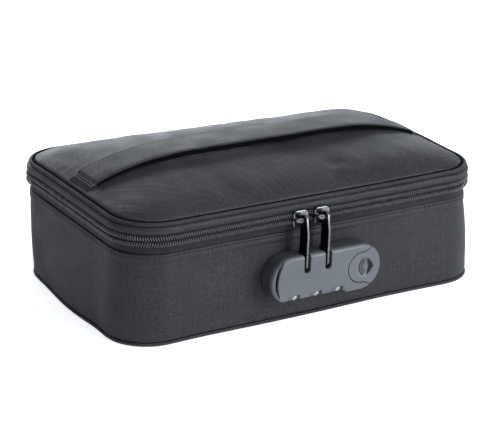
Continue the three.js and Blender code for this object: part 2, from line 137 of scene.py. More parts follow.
def sagged(points):
    """Points in millimetres, moved as the soft case has settled; the lock and the sliders stay put.

    The base has spread at three corners, and the back of the lid droops and leans in to the right."""
    x, y, z = (np.array(points[..., k], float) for k in range(3))
    direction = np.degrees(np.arctan2(y / BODY.half_y, x / BODY.half_x))
    upper = smooth_step(50, 76, z)
    spread = np.clip(1 - z / wall_high[2], 0, 1) * sum(
        most * lobe(direction, centre, width) for most, centre, width in FOOT_SPREAD)
    spread += 1.8 * np.clip(1 - z / 22, 0, 1) * lobe(direction, -98, 46)
    spread -= 2.3 * smooth_step(12, 66, z) * lobe(direction, -38, 34)
    ridge = BODY.half_x - BODY.half_y
    away_x, away_y = x - np.clip(x, -ridge, ridge), y
    reach = np.hypot(away_x, away_y) + 1e-9
    outer = smooth_step(0.35, 0.9, reach / BODY.half_y)
    droop = upper * smooth_step(30, 78, y) * (1.3 + 1.2 * smooth_step(-60, 40, x))
    lean = 4.5 * smooth_step(-90, 90, x) * smooth_step(-10, 78, y)
    stiff = (np.abs(x) < case_high[0] + 1) & (y < case_high[1] + 0.5)
    outer = np.where(stiff, 0, outer)
    moved_x = x + away_x / reach * spread * outer
    moved_y = y + away_y / reach * spread * outer - lean
    return np.stack([moved_x, moved_y, z - droop], -1)


# ---- Mesh helpers ----

def link(name, mesh, material=None):
    obj = bpy.data.objects.new(name, mesh)
    bpy.context.scene.collection.objects.link(obj)
    if material:
        mesh.materials.append(material)
    return obj


def hand_over(piece, body, node=None):
    """Hides the CAD node that a piece stands for, where there is one, and attaches the piece to its body.
    """
    if node:
        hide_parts(node)
    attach(piece, body)


def smooth_mesh(name, points, polygons):
    """A smooth-shaded mesh from points in millimetres, moved with the sag of the case."""
    mesh = bpy.data.meshes.new(name)
    mesh.from_pydata((sagged(points).reshape(-1, 3) * MM).tolist(), [], polygons)
    mesh.polygons.foreach_set("use_smooth", [True] * len(polygons))
    return mesh


def add_uv(mesh, uv):
    mesh.uv_layers.new(name="UVMap").data.foreach_set("uv", uv.astype(np.float32).ravel())


def grid_faces(count_u, count_v, close_u, close_v):
    """Quads of a grid of points, and the indices u and v of each quad's first corner."""
    u = np.arange(count_u if close_u else count_u - 1)
    v = np.arange(count_v if close_v else count_v - 1)
    a, b = np.meshgrid(u, v, indexing="ij")
    a2, b2 = (a + 1) % count_u, (b + 1) % count_v
    corners = [(a, b), (a2, b), (a2, b2), (a, b2)]
    faces = np.stack([i * count_v + j for i, j in corners], axis=-1).reshape(-1, 4)
    return faces, a.ravel(), b.ravel()


def lengths_along(grid, axis):
    """Mean walked length along one index of a grid of points, and back to its start."""
    wrapped = np.concatenate([grid, grid.take([0], axis=axis)], axis=axis)
    steps = np.linalg.norm(np.diff(wrapped, axis=axis), axis=2).mean(axis=1 - axis)
    return np.concatenate([[0.0], np.cumsum(steps)])


def grid_mesh(name, grid, material, close_u=False, close_v=False, caps=False, flat_uv=False):
    """A smooth quad mesh from points[u, v] in millimetres, with UVs that are lengths in millimetres."""
    count_u, count_v = grid.shape[:2]
    faces, a, b = grid_faces(count_u, count_v, close_u, close_v)
    polygons = faces.tolist()
    walk_u, walk_v = lengths_along(grid, 0), lengths_along(grid, 1)
    uv = np.stack([np.stack([walk_u[a + i], walk_v[b + j]], axis=-1)
                   for i, j in ((0, 0), (1, 0), (1, 1), (0, 1))], axis=1).reshape(-1, 2)
    if flat_uv:
        uv = grid.reshape(-1, 3)[faces.ravel()][:, :2]
    if caps:
        polygons.append(list(range(count_v)))
        polygons.append([(count_u - 1) * count_v + j for j in range(count_v)][::-1])
        uv = np.concatenate([uv, np.zeros((2 * count_v, 2))])
    mesh = smooth_mesh(name, grid, polygons)
    add_uv(mesh, uv)
    if caps:
        sharpen(mesh, 50)
    return link(name, mesh, material)


def sharpen(mesh, degrees):
    """Marks edges sharper than an angle, so that smooth shading stops there."""
    bm = bmesh.new()
    bm.from_mesh(mesh)
    for edge in bm.edges:
        if len(edge.link_faces) == 2 and edge.calc_face_angle(0) > math.radians(degrees):
            edge.smooth = False
    bm.to_mesh(mesh)
    bm.free()


def joined_mesh(name, chunks, material):
    """One mesh from many (vertices, faces) chunks in millimetres."""
    vertices, faces, offset = [], [], 0
    for chunk_vertices, chunk_faces in chunks:
        vertices.append(np.asarray(chunk_vertices, float))
        faces.extend([[i + offset for i in face] for face in chunk_faces])
        offset += len(chunk_vertices)
    return link(name, smooth_mesh(name, np.concatenate(vertices), faces), material)


def tube_faces(stations, sides):
    """Faces of a tube with closed ends."""
    faces = grid_faces(stations, sides, False, True)[0].tolist()
    faces.append(list(range(sides)))
    faces.append([(stations - 1) * sides + j for j in range(sides)][::-1])
    return faces


def tube_points(path, radii, sides, up):
    """Rings of a round tube along a path of points, with a reference direction across it."""
    path = np.asarray(path, float)
    tangent = np.gradient(path, axis=0)
    tangent /= np.linalg.norm(tangent, axis=1)[:, None]
    across = np.cross(tangent, np.asarray(up, float))
    across /= np.linalg.norm(across, axis=1)[:, None]
    other = np.cross(across, tangent)
    angle = np.arange(sides) / sides * TAU
    cosine, sine = np.cos(angle)[None, :, None], np.sin(angle)[None, :, None]
    ring = across[:, None] * cosine + other[:, None] * sine
    return (path[:, None] + ring * np.asarray(radii, float)[:, None, None]).reshape(-1, 3)


def polar(centre, radius, angle):
    """A point at a distance from a centre, in a direction in radians."""
    return centre[0] + radius * math.cos(angle), centre[1] + radius * math.sin(angle)


def arc_points(centre, radius, start, end, steps=18):
    """Points on an arc between two directions in degrees."""
    return [polar(centre, radius, angle) for angle in np.radians(np.linspace(start, end, steps))]


def wander(points, size, seed=0.0):
    """Smooth noise between about -1 and 1 at each point, with features of a given size in millimetres."""
    shift = Vector((seed, seed * 1.7, -seed))
    return np.array([noise.noise(Vector(p) / size + shift) for p in points]) * 1.6


# ---- Materials ----

class Nodes:
    """Makes and links the nodes of one node tree."""

    def __init__(self, tree):
        self.tree = tree

    def link(self, source, target):
        self.tree.links.new(source, target)

    def node(self, kind, **settings):
        made = self.tree.nodes.new("ShaderNode" + kind)
        for key, value in settings.items():
            setattr(made, key, value)
        return made

    def put(self, socket, value):
        if isinstance(value, bpy.types.NodeSocket):
            self.link(value, socket)
        else:
            socket.default_value = value

    def calc(self, operation, *values):
        made = self.node("Math", operation=operation)
        for socket, value in zip(made.inputs, values):
            self.put(socket, value)
        return made.outputs[0]

    def mapped(self, value, settings, interpolation="SMOOTHSTEP"):
        """A value mapped by four settings: from low, from high, to low, to high."""
        made = self.node("MapRange", interpolation_type=interpolation)
        for name, setting in zip(("From Min", "From Max", "To Min", "To Max"), settings):
            made.inputs[name].default_value = setting
        self.link(value, made.inputs["Value"])
        return made.outputs[0]

    def separated(self, vector):
        """The X, Y and Z parts of a vector socket."""
        made = self.node("SeparateXYZ")
        self.link(vector, made.inputs[0])
        return made.outputs


class Finish(Nodes):
    """A node material being built round one Principled shader. Cloth patterns read UVs in millimetres."""

    def __init__(self, name, color, roughness, metallic=0.0, specular=0.5):
        self.material = bpy.data.materials.new(name)
        self.material.use_nodes = True
        super().__init__(self.material.node_tree)
        self.shader = self.tree.nodes["Principled BSDF"]
        self.shader.inputs["Metallic"].default_value = metallic
        self.shader.inputs["Specular IOR Level"].default_value = specular
        self.color, self.roughness, self.normal = color, roughness, None
        self.shader.inputs["Base Color"].default_value = (*color, 1)
        self.shader.inputs["Roughness"].default_value = roughness

    def place(self, source, scale, turn=0.0):
        """Texture coordinates from "UV" or "Object", scaled, with a turn about Z in degrees."""
        coordinates = self.node("TexCoord").outputs[source]
        mapping = self.node("Mapping")
        mapping.inputs["Scale"].default_value = scale
        mapping.inputs["Rotation"].default_value = (0, 0, math.radians(turn))
        self.link(coordinates, mapping.inputs["Vector"])
        return mapping.outputs[0]

    def noise(self, source, scale, detail=2.0, turn=0.0):
        made = self.node("TexNoise")
        made.inputs["Scale"].default_value = 1.0
        made.inputs["Detail"].default_value = detail
        self.link(self.place(source, scale, turn), made.inputs["Vector"])
        return made.outputs["Fac"]

    def grain(self, scale, detail=2.0):
        """Noise in object space; a larger scale is finer."""
        return self.noise("Object", (scale,) * 3, detail)

    def spread(self, value, low, high):
        """Maps a texture's middle range (0.3 to 0.7) to low and high."""
        return self.mapped(value, (0.3, 0.7, low, high), "LINEAR")

    def mottle(self, scale, detail, low, high):
        """Uneven tone."""
        self.tint(self.spread(self.grain(scale, detail), low, high))

    def scuff(self, scale, detail, low, high):
        """Uneven gloss."""
        self.rough(self.spread(self.grain(scale, detail), low, high))

    def glint(self, factor):
        """Multiplies the strength of reflections by a value socket, on top of earlier ones."""
        level = self.shader.inputs["Specular IOR Level"]
        before = level.links[0].from_socket if level.is_linked else level.default_value
        self.link(self.calc("MULTIPLY", factor, before), level)

    def mixed(self, made):
        """Puts a mix node between the base colour as it is so far and the shader."""
        base = self.shader.inputs["Base Color"]
        if base.is_linked:
            self.link(base.links[0].from_socket, made.inputs["Color1"])
        else:
            made.inputs["Color1"].default_value = (*self.color, 1)
        self.link(made.outputs["Color"], base)

    def tint(self, factor):
        """Multiplies the base colour by a value socket, on top of earlier tints."""
        made = self.node("MixRGB", blend_type="MULTIPLY")
        made.inputs["Fac"].default_value = 1.0
        self.link(factor, made.inputs["Color2"])
        self.mixed(made)

    def toward(self, factor, color):
        """Mixes the base colour towards another one where factor is high."""
        made = self.node("MixRGB")
        self.link(factor, made.inputs["Fac"])
        made.inputs["Color2"].default_value = (*color, 1)
        self.mixed(made)

    def rough(self, factor):
        self.link(self.calc("MULTIPLY", factor, self.roughness), self.shader.inputs["Roughness"])

    def bump(self, height, distance_mm, strength=1.0):
        made = self.node("Bump")
        made.inputs["Strength"].default_value = strength
        made.inputs["Distance"].default_value = distance_mm * MM
        self.link(height, made.inputs["Height"])
        if self.normal:
            self.link(self.normal, made.inputs["Normal"])
        self.normal = made.outputs["Normal"]
        self.link(self.normal, self.shader.inputs["Normal"])

    def soft_edges(self, radius_mm):
        made = self.node("Bevel", samples=4)
        made.inputs["Radius"].default_value = radius_mm * MM
        self.normal = made.outputs["Normal"]
        self.link(self.normal, self.shader.inputs["Normal"])

    def sheen(self, weight, roughness=0.4, tint=(0.85, 0.88, 1.0)):
        self.shader.inputs["Sheen Weight"].default_value = weight
        self.shader.inputs["Sheen Roughness"].default_value = roughness
        self.shader.inputs["Sheen Tint"].default_value = (*tint, 1)

    def weave(self, thread, depth, turn=0.0):
        """A plain weave: bumps where one thread passes over the other, and threads of uneven tone."""
        split = self.separated(self.place("UV", (math.pi / thread,) * 3, turn))
        crossing = self.calc("MULTIPLY", self.calc("SINE", split[0]), self.calc("SINE", split[1]))
        for streak in ((1.6 / thread, 0.03, 1), (0.03, 1.6 / thread, 1)):
            self.tint(self.spread(self.noise("UV", streak, 1.0, turn), 0.8, 1.2))
        self.bump(crossing, depth)
        return crossing


def nylon(name, color, thread=0.72, depth=0.06, turn=0.0, roughness=0.5, sheen=0.03):
    """Charcoal woven nylon with slubs in its threads, faint handling marks and soft variation."""
    finish = Finish(name, color, roughness, specular=0.34)
    crossing = finish.weave(thread, depth, turn)
    slubs = finish.spread(finish.noise("Object", (640, 640, 900)), 0.8, 1.2)
    finish.tint(slubs)
    finish.glint(slubs)
    finish.glint(finish.calc("MULTIPLY_ADD", crossing, 0.3, 1.0))
    finish.mottle(22, 3.0, 0.9, 1.1)
    finish.scuff(55, 3.0, 0.88, 1.12)
    finish.bump(finish.grain(160), 0.12, 0.5)
    finish.tint(finish.calc("MULTIPLY_ADD", crossing, 0.14, 1.0))
    finish.sheen(sheen)
    return finish.material


def webbing(name, color, rib=0.55, depth=0.12, sheen=0.2, specular=0.2):
    """Knitted zip tape and binding: upright ribs with a fine cross rib."""
    finish = Finish(name, color, 0.85, specular=specular)
    split = finish.separated(finish.place("UV", (math.pi / rib,) * 3))
    upright = finish.calc("ABSOLUTE", finish.calc("SINE", split[0]))
    cross_rib = finish.calc("SINE", finish.calc("MULTIPLY", split[1], 1.7))
    finish.bump(cross_rib, depth * 0.3)
    finish.bump(upright, depth)
    finish.mottle(90, 3.0, 0.8, 1.2)
    finish.scuff(300, 2.0, 0.9, 1.1)
    finish.sheen(sheen)
    return finish.material


def thread_material(name, color):
    """Twisted sewing thread."""
    finish = Finish(name, color, 0.55, specular=0.4)
    finish.mottle(700, 2.0, 0.75, 1.25)
    finish.scuff(900, 2.0, 0.9, 1.1)
    finish.bump(finish.grain(2500), 0.05)
    finish.sheen(0.3)
    return finish.material


def moulded(name, color, roughness=0.42, edge=0.25, grain=0.5, shade_depths=None):
    """Moulded plastic with a fine spark-eroded grain and soft mould edges.

    With shade_depths, two depths (mm), it keeps its colour in front of the first and darkens to a quarter
    behind the second: painted shade on the sides towards the wall."""
    finish = Finish(name, color, roughness, specular=0.5)
    finish.soft_edges(edge)
    finish.bump(finish.grain(2600), 0.02, grain)
    finish.mottle(60, 3.0, 0.95, 1.05)
    finish.scuff(130, 4.0, 0.85, 1.15)
    if shade_depths:
        # Painted shade: the colour darkens with depth behind the face.
        depth = finish.separated(finish.node("TexCoord").outputs["Object"])[1]
        finish.tint(finish.mapped(depth, (shade_depths[0] * MM, shade_depths[1] * MM, 1.0, 0.25)))
    return finish.material


def metal(name, color, roughness, edge=0.12, blotch=0.15):
    """Plated or die-cast metal with uneven polish and fine scratches."""
    finish = Finish(name, color, roughness, metallic=1.0)
    finish.soft_edges(edge)
    finish.bump(finish.noise("Object", (3500, 300, 300)), 0.015, 0.5)
    finish.mottle(150, 3.0, 1 - blotch, 1 + blotch)
    finish.scuff(420, 3.0, 0.7, 1.3)
    return finish.material


def foam_material():
    """Closed-cell foam, matt and dark."""
    finish = Finish("foam_cells", (0.045, 0.045, 0.048), 0.95, specular=0.2)
    finish.bump(finish.grain(900, 1.0), 0.12)
    finish.mottle(500, 2.0, 0.8, 1.2)
    return finish.material


def lining_material():
    """Coated glass-fibre cloth: silver-grey plain weave with a slight crease pattern."""
    finish = Finish("fire_lining_cloth", (0.34, 0.34, 0.33), 0.5, specular=0.5)
    finish.weave(0.9, 0.12)
    finish.mottle(30, 3.0, 0.86, 1.1)
    finish.scuff(80, 3.0, 0.8, 1.2)
    finish.bump(finish.grain(45, 3.0), 0.5, 0.6)
    return finish.material


CHARCOAL = (0.021, 0.022, 0.025)
shell_cloth = nylon("shell_nylon", CHARCOAL)
strap_cloth = nylon("strap_nylon", (0.019, 0.020, 0.023), roughness=0.52)
piping_cloth = nylon("piping_nylon", (0.024, 0.025, 0.029), thread=0.4, turn=45, roughness=0.62)
tape_cloth = webbing("zip_tape_knit", (0.023, 0.0235, 0.026))
binding_cloth = webbing("binding_knit", (0.022, 0.022, 0.025), rib=0.8)
seam_thread = thread_material("seam_thread", (0.006, 0.006, 0.007))
# Near black and without sheen: painted shade in creases and on the strap's shaded sides and back edge.
painted_shade_cloth = webbing("painted_shade_knit", (0.004, 0.004, 0.005), sheen=0, specular=0.04)
edge_binding = webbing("strap_edge_knit", (0.022, 0.022, 0.025), rib=0.9, sheen=0.05)
coil_nylon = moulded("zip_coil_nylon", (0.098, 0.1, 0.105), roughness=0.28, edge=0.05, grain=0.2)
pale_thread = thread_material("tab_thread", (0.13, 0.133, 0.14))
# Near black: painted shade in the gaps between the coil's wires.
coil_core_shade = webbing("zip_core_painted_shade", (0.008, 0.008, 0.009))
# The lock's sides are painted darker towards the wall, as shade.
lock_plastic = moulded("lock_satin_plastic", (0.120, 0.127, 0.142),
                       shade_depths=(case_low[1] + 0.9, case_low[1] + 5.5))
digit_paint = moulded("dial_white_paint", (0.8, 0.8, 0.8), roughness=0.5, edge=0.03, grain=0.2)
gunmetal = metal("gunmetal_casting", (0.22, 0.225, 0.235), 0.24, blotch=0.3)
inner_steel = metal("zinc_plated_steel", (0.5, 0.5, 0.52), 0.38)
brass = metal("turned_brass", (0.62, 0.46, 0.2), 0.32)
foam_cells = foam_material()
board_plastic = moulded("base_board_plastic", (0.05, 0.05, 0.052), roughness=0.6)
lining_cloth = lining_material()


# ---- Cloth shells ----

LID_CORD, BASE_CORD = 1.25, 1.1
STITCH_Z, STITCH_OUT = 55.0, 0.24
HEM_Z, HEM_FOLD, WALL_INNER = (51.4, 52.2), 0.7, -1.2
CALM_HALF = 50


def ring_grid(outline, count, rows, start=0.0, end=None):
    """Points round an outline; rows(x, y) gives outward offsets and heights, shared or per station."""
    closed = end is None
    s = np.linspace(start, outline.length if closed else end, count, endpoint=not closed)
    x, y, nx, ny = outline.at(s)
    out, z = rows(x, y)
    ring_x, ring_y = x[:, None] + nx[:, None] * out, y[:, None] + ny[:, None] * out
    return np.stack([ring_x, ring_y, np.broadcast_to(z, ring_x.shape)], axis=-1)


def ring_wave(x, y, size, seed):
    """Smooth noise per station round an outline, as a column."""
    return wander(np.stack([x, y, 0 * x], -1), size, seed)[:, None]


def push_out(grid, amount):
    """Moves grid points level and away from the middle line, by an amount in millimetres."""
    ridge = BODY.half_x - BODY.half_y
    away = grid[..., :2].copy()
    away[..., 0] -= np.clip(away[..., 0], -ridge, ridge)
    away /= np.linalg.norm(away, axis=-1, keepdims=True) + 1e-9
    grid[..., :2] += away * amount[..., None]
    return grid


def build_wall():
    """The side wall: one band of nylon, eased over the foam, folded into a stitched hem at the top."""
    top, bottom = wall_high[2], 2 * BASE_CORD - 0.7
    outer_z = np.concatenate([np.linspace(bottom, 8, 7)[:-1], np.linspace(8, 50, 26)[:-1],
                              np.linspace(50, top - HEM_FOLD, 15)])
    fold = np.linspace(0, math.pi, 7)[1:-1]
    inner_z = np.array([top - HEM_FOLD, 52.0, 40.0, 20.0, bottom])
    hem = 0.5 * smooth_step(*HEM_Z, outer_z)
    stitch_pull = -0.32 * np.exp(-((outer_z - STITCH_Z) / 0.55) ** 2)
    tuck = -0.5 * (1 - smooth_step(bottom + 0.6, 4.2, outer_z))
    bulge = 0.45 * np.sin(math.pi * np.clip((outer_z - 6) / 46, 0, 1))
    outer = hem + stitch_pull + tuck + bulge
    fold_out = -0.35 + 0.85 * np.cos(fold)
    fold_z = top - HEM_FOLD + HEM_FOLD * np.sin(fold)
    out_row = np.concatenate([outer, fold_out, np.full(len(inner_z), WALL_INNER)])
    z_row = np.concatenate([outer_z, fold_z, inner_z])

    def rows(x, y):
        wave = ring_wave(x, y, 42, 3.0)
        return out_row, z_row + 0.25 * wave * smooth_step(46, 57, z_row)

    grid = ring_grid(BODY, 560, rows)
    outside = np.arange(len(z_row)) < len(outer_z)
    flat = grid.reshape(-1, 3)
    wrinkle = wander(flat, 46, 1.0) * 0.42 + wander(flat * (1, 1, 0.6), 15, 7.0) * 0.10
    wrinkle = wrinkle.reshape(grid.shape[:2])
    calm = smooth_step(4, 14, z_row) * (1 - 0.75 * smooth_step(46, 54, z_row)) * outside
    behind_lock = (np.abs(grid[..., 0]) < CALM_HALF) & (grid[..., 1] < 0)
    grid = push_out(grid, wrinkle * calm * np.where(behind_lock, 0.35, 1.0))
    wall = grid_mesh("side_wall_cloth", grid, shell_cloth, close_u=True, close_v=True)
    hand_over(wall, "body", "body_wall")


def build_cord(name, node, outline, inset, radius, z, body, material=piping_cloth):
    """A cord laid round a seam: piping covered in bias-cut nylon, or a near-black cord of painted shade in
    the crease beside it.
    """
    angle = np.arange(18) / 18 * TAU

    def rows(x, y):
        swell = 1 + 0.035 * ring_wave(x, y, 9, 2.0)
        return radius * swell * np.cos(angle) - inset, z + radius * swell * np.sin(angle)

    grid = ring_grid(outline, 620, rows)
    cord = grid_mesh(name, grid, material, close_u=True, close_v=True)
    hand_over(cord, body, node)


def build_cords():
    """Piping round the base and the lid, and beside each a near-black cord that paints the shade in its
    crease.
    """
    z = (lid_piping_low[2] + lid_piping_high[2]) / 2 - 0.1
    inset = LID.half_x - lid_piping_high[0] + LID_CORD
    build_cord("base_cord", "base_piping", BODY, 0.75, BASE_CORD, BASE_CORD, "body")
    build_cord("lid_cord", "lid_piping", LID, inset, LID_CORD, z, "lid")
    # Near-black cords in the creases beside the piping: painted shade.
    build_cord("lid_crease_shade", None, LID, inset + LID_CORD + 0.2, 0.65, z + 1.0, "lid", painted_shade_cloth)
    build_cord("base_crease_shade", None, BODY, 0.55, 0.35, 2 * BASE_CORD + 0.1, "body", painted_shade_cloth)


def build_band():
    """The lid's side band between the piping and the zip, with its lower edge folded under."""
    low, high = band_low[2], band_high[2] + 0.5
    z = np.linspace(low + 0.4, high, 18)
    share = (z - low) / (high - low)
    outer = -0.1 + 0.6 * np.sin(math.pi * np.clip(share, 0, 1)) - 1.5 * smooth_step(0.72, 1.0, share) ** 2
    fold = np.linspace(math.pi / 2, -math.pi / 2, 6)[::-1]
    out_row = np.concatenate([outer, [-2.2, -1.3, -1.1], -0.65 - 0.45 * np.sin(fold)[::-1]])
    z_row = np.concatenate([z, [high - 0.4, high - 2.0, low + 0.5], low + 0.4 - 0.4 * np.cos(fold)])

    def rows(x, y):
        wave = ring_wave(x, y, 24, 5.0)
        return out_row + 0.12 * wave * (z_row < high - 1), z_row

    grid = ring_grid(LID, 560, rows)
    band = grid_mesh("lid_band_cloth", grid, shell_cloth, close_u=True, close_v=True)
    hand_over(band, "lid", "lid_band")


def stitch_row(name, points, outward, pitch=3.1, length=2.1, radius=0.3, material=seam_thread):
    """Sewn dashes along a curve of points; each dash lies on the cloth and dips in at both ends."""
    points, outward = np.asarray(points, float), np.asarray(outward, float)
    steps = np.linalg.norm(np.diff(points, axis=0), axis=1)
    walked = np.concatenate([[0], np.cumsum(steps)])
    starts = np.arange(0.3, walked[-1] - length, pitch)
    share = np.linspace(0, 1, 6)
    chunks = []
    for start in starts:
        at = start + share * length
        spine = np.stack([np.interp(at, walked, points[:, k]) for k in range(3)], -1)
        up = np.stack([np.interp(at, walked, outward[:, k]) for k in range(3)], -1)
        spine += up * (radius * (np.sin(math.pi * share) * 1.3 - 0.6))[:, None]
        rings = tube_points(spine, radius * (0.55 + 0.45 * np.sin(math.pi * share)), 6, up.mean(0))
        chunks.append((rings, tube_faces(6, 6)))
    return joined_mesh(name, chunks, material)


def build_wall_stitches():
    """The row of stitches that holds the hem."""
    s = np.linspace(0, BODY.length, 900)
    x, y, nx, ny = BODY.at(s)
    points = np.stack([x + nx * STITCH_OUT, y + ny * STITCH_OUT, np.full_like(x, STITCH_Z)], -1)
    row = stitch_row("hem_stitches", points, np.stack([nx, ny, 0 * nx], -1))
    hand_over(row, "body")


# ---- Lid: padded panel settled by a cloth simulation ----

PANEL_INSET = LID.half_x - panel_high[0]
RIM_Z = panel_low[2] + 1.2 - 0.4
CREST_Z = panel_high[2]
SETTLING_FRAMES, SETTLING_SLACK, MOST_SETTLED = 26, 0.012, 0.9
# Soft folds on the front slope: start and end (x, y), width and depth.
FOLDS = (
    ((14, -70), (37, -40), 5.0, 0.9),
    ((22, -48), (44, -58), 4.5, 0.5),
    ((-36, -66), (-14, -40), 7.0, 0.45),
)


def depth_inside(x, y):
    """How far points lie inside the lid's outline."""
    qx = np.abs(x) - (LID.half_x - LID.radius)
    qy = np.abs(y) - (LID.half_y - LID.radius)
    outside = np.hypot(np.maximum(qx, 0), np.maximum(qy, 0))
    return LID.radius - outside - np.minimum(np.maximum(qx, qy), 0)


def pad_grid(outline, inset, columns, rows):
    """Points filling an outline: a square net whose four corners are stretched into the round ones."""
    middles = [outline.corner_middle(corner) for corner in range(4)]
    u = np.linspace(-1, 1, columns)
    v = np.linspace(-1, 1, rows)

    def side(first, last, share):
        x, y, nx, ny = outline.at(first + (last - first) * share)
        return np.stack([x - nx * inset, y - ny * inset], -1)

    share_u, share_v = (u + 1) / 2, (v + 1) / 2
    front = side(middles[1], middles[2], share_u)
    back = side(middles[3], middles[0] + outline.length, 1 - share_u)
    left = side(middles[0], middles[1], 1 - share_v)
    right = side(middles[2], middles[3], share_v)
    a, b = share_u[:, None, None], share_v[None, :, None]
    corners = ((1 - a) * (1 - b) * front[0] + a * (1 - b) * front[-1]
               + (1 - a) * b * back[0] + a * b * back[-1])
    return ((1 - b) * front[:, None] + b * back[:, None] + (1 - a) * left[None] + a * right[None]
            - corners)


def relaxed(height, rounds):
    """Evens out a net of heights while its rim stays."""
    for _ in range(rounds):
        height[1:-1, 1:-1] = 0.5 * height[1:-1, 1:-1] + 0.125 * (
            height[:-2, 1:-1] + height[2:, 1:-1] + height[1:-1, :-2] + height[1:-1, 2:])
    return height


def padded(share):
    """Height of the padded top where share runs from 0 at its rim to 1 at its ridge."""
    return RIM_Z + (CREST_Z - RIM_Z) * (1 - (1 - np.clip(share, 0, 1)) ** 3.1)


def dome_height(plan):
    return padded((depth_inside(plan[..., 0], plan[..., 1]) - PANEL_INSET) / (LID.half_y - PANEL_INSET))


def net_object(name, net):
    """A plain net of quads for the cloth simulation."""
    quads = grid_faces(*net.shape[:2], False, False)[0]
    mesh = bpy.data.meshes.new(name)
    mesh.from_pydata((net.reshape(-1, 3) * MM).tolist(), [], quads.tolist())
    return link(name, mesh)


def settle(grid, support, slack, frames):
    """Lets a cloth, sewn at its rim and a little longer than its support, settle on that support."""
    cloth_obj = net_object("settling_cloth", grid)
    count_u, count_v = grid.shape[:2]
    rim = [i * count_v + j for i in range(count_u) for j in range(count_v)
           if i in (0, count_u - 1) or j in (0, count_v - 1)]
    cloth_obj.vertex_groups.new(name="sewn").add(rim, 1.0, "REPLACE")
    foam = net_object("settling_support", support)
    foam.modifiers.new("Collision", "COLLISION")
    foam.collision.thickness_outer = 0.001
    foam.collision.cloth_friction = 8
    cloth = cloth_obj.modifiers.new("Cloth", "CLOTH")
    cloth.settings.quality = 7
    cloth.settings.mass = 0.12
    cloth.settings.tension_stiffness = cloth.settings.compression_stiffness = 18
    cloth.settings.shear_stiffness = 8
    cloth.settings.bending_stiffness = 0.25
    cloth.settings.shrink_min = -slack
    cloth.settings.vertex_group_mass = "sewn"
    cloth.collision_settings.distance_min = 0.001
    cloth.collision_settings.use_self_collision = False
    cloth.point_cache.frame_start, cloth.point_cache.frame_end = 1, frames
    for frame_number in range(1, frames + 1):
        bpy.context.scene.frame_set(frame_number)
    settled_mesh = cloth_obj.evaluated_get(bpy.context.evaluated_depsgraph_get()).to_mesh()
    settled = np.array([vertex.co for vertex in settled_mesh.vertices]).reshape(grid.shape) / MM
    bpy.context.scene.frame_set(1)
    for used in (cloth_obj, foam):
        bpy.data.objects.remove(used)
    return settled


def fold_depth(points):
    """Depth of the soft folds that run up the front slope of the padded top."""
    depth = np.zeros(len(points))
    for start, end, width, deepest in FOLDS:
        run = np.subtract(end, start)
        away = points[:, :2] - start
        along = away @ run / (run @ run)
        across = (away[:, 0] * run[1] - away[:, 1] * run[0]) / np.hypot(*run) / width
        reach = smooth_step(-0.2, 0.4, along) * (1 - smooth_step(0.6, 1.3, along))
        depth += deepest * reach * (np.exp(-across ** 2) - 0.5 * np.exp(-(across - 1.7) ** 2))
    return depth


def build_lid_panel():
    """The padded top. Its rim is tucked under the piping seam."""
    plan = pad_grid(LID, PANEL_INSET + 0.4, 107, 67)
    surface = np.dstack([plan, relaxed(dome_height(plan), 60)])
    raised = surface + (0, 0, 1.3)
    raised[[0, -1]], raised[:, [0, -1]] = surface[[0, -1]], surface[:, [0, -1]]
    settled = settle(raised, surface - (0, 0, MOST_SETTLED), SETTLING_SLACK, SETTLING_FRAMES)
    surface += np.clip(settled - surface, -MOST_SETTLED, MOST_SETTLED)
    points = surface.reshape(-1, 3)
    quilt = wander(points, 38, 4.0) * 0.45 + wander(points * (1, 0.45, 0), 15, 6.0) * 0.38
    inside = depth_inside(points[:, 0], points[:, 1]) - PANEL_INSET
    pucker = wander(points * (1, 1, 0), 7, 9.0) * 0.22 * np.exp(-((inside - 3.5) / 3.0) ** 2)
    relief = quilt * smooth_step(2, 20, inside) + pucker - fold_depth(points)
    surface[..., 2] += relief.reshape(surface.shape[:2])
    panel = grid_mesh("lid_top_cloth", hemmed(surface), shell_cloth, flat_uv=True)
    finish_cloth(panel, 1.0)
    hand_over(panel, "lid", "lid_panel")


def hemmed(surface):
    """Adds rows round a net of points that turn down into the seam under the piping."""
    flat = np.array([LID.half_x - LID.radius, LID.half_y - LID.radius])
    for out, drop in ((0.35, 0.75), (0.45, 1.9)):
        count_u, count_v = surface.shape[:2]
        wider = np.zeros((count_u + 2, count_v + 2, 3))
        wider[1:-1, 1:-1] = surface
        wider[0, 1:-1], wider[-1, 1:-1] = surface[0], surface[-1]
        wider[:, 0], wider[:, -1] = wider[:, 1], wider[:, -2]
        rim = np.ones(wider.shape[:2], bool)
        rim[1:-1, 1:-1] = False
        away = wider[rim][:, :2].copy()
        away -= np.clip(away, -flat, flat)
        away /= np.linalg.norm(away, axis=1)[:, None] + 1e-9
        wider[rim] += np.column_stack([away * out, np.full(len(away), -drop)])
        surface = wider
    return surface


def finish_cloth(obj, thickness):
    """Rounds a net of quads and gives it the thickness of cloth on its under side."""
    obj.modifiers.new("Rounded", "SUBSURF").levels = 1
    obj.modifiers["Rounded"].render_levels = 1
    solid = obj.modifiers.new("Thickness", "SOLIDIFY")
    solid.thickness = thickness * MM
    solid.offset = -1
    bake_modifiers(obj)


def bake_modifiers(obj):
    """Makes an object's modified shape its own mesh."""
    evaluated = obj.evaluated_get(bpy.context.evaluated_depsgraph_get())
    mesh = bpy.data.meshes.new_from_object(evaluated)
    obj.modifiers.clear()
    obj.data = mesh


# ---- Zip ----

TAPE_OUT = -2.2
ZIP_START = HINGE_HALF
COIL_PITCH = 1.5
WIRE_RADIUS = 0.36
COIL_TOP = coil_up_high[2] - ZIP_Z - 0.1
TAPE_LOW, TAPE_HIGH, TAPE_THICK = 57.4, 73.4, 0.6
CORE_OUT, CORE_RADIUS, CORE_RISE = -1.6, 0.6, 0.56
# How far the hinge strip laps over the wall, and two heights for a bend with the lid that nothing here
# makes.
HINGE_LAP, HINGE_Y, BEND_LOW, BEND_HIGH = 3, 78.8, 60, 68


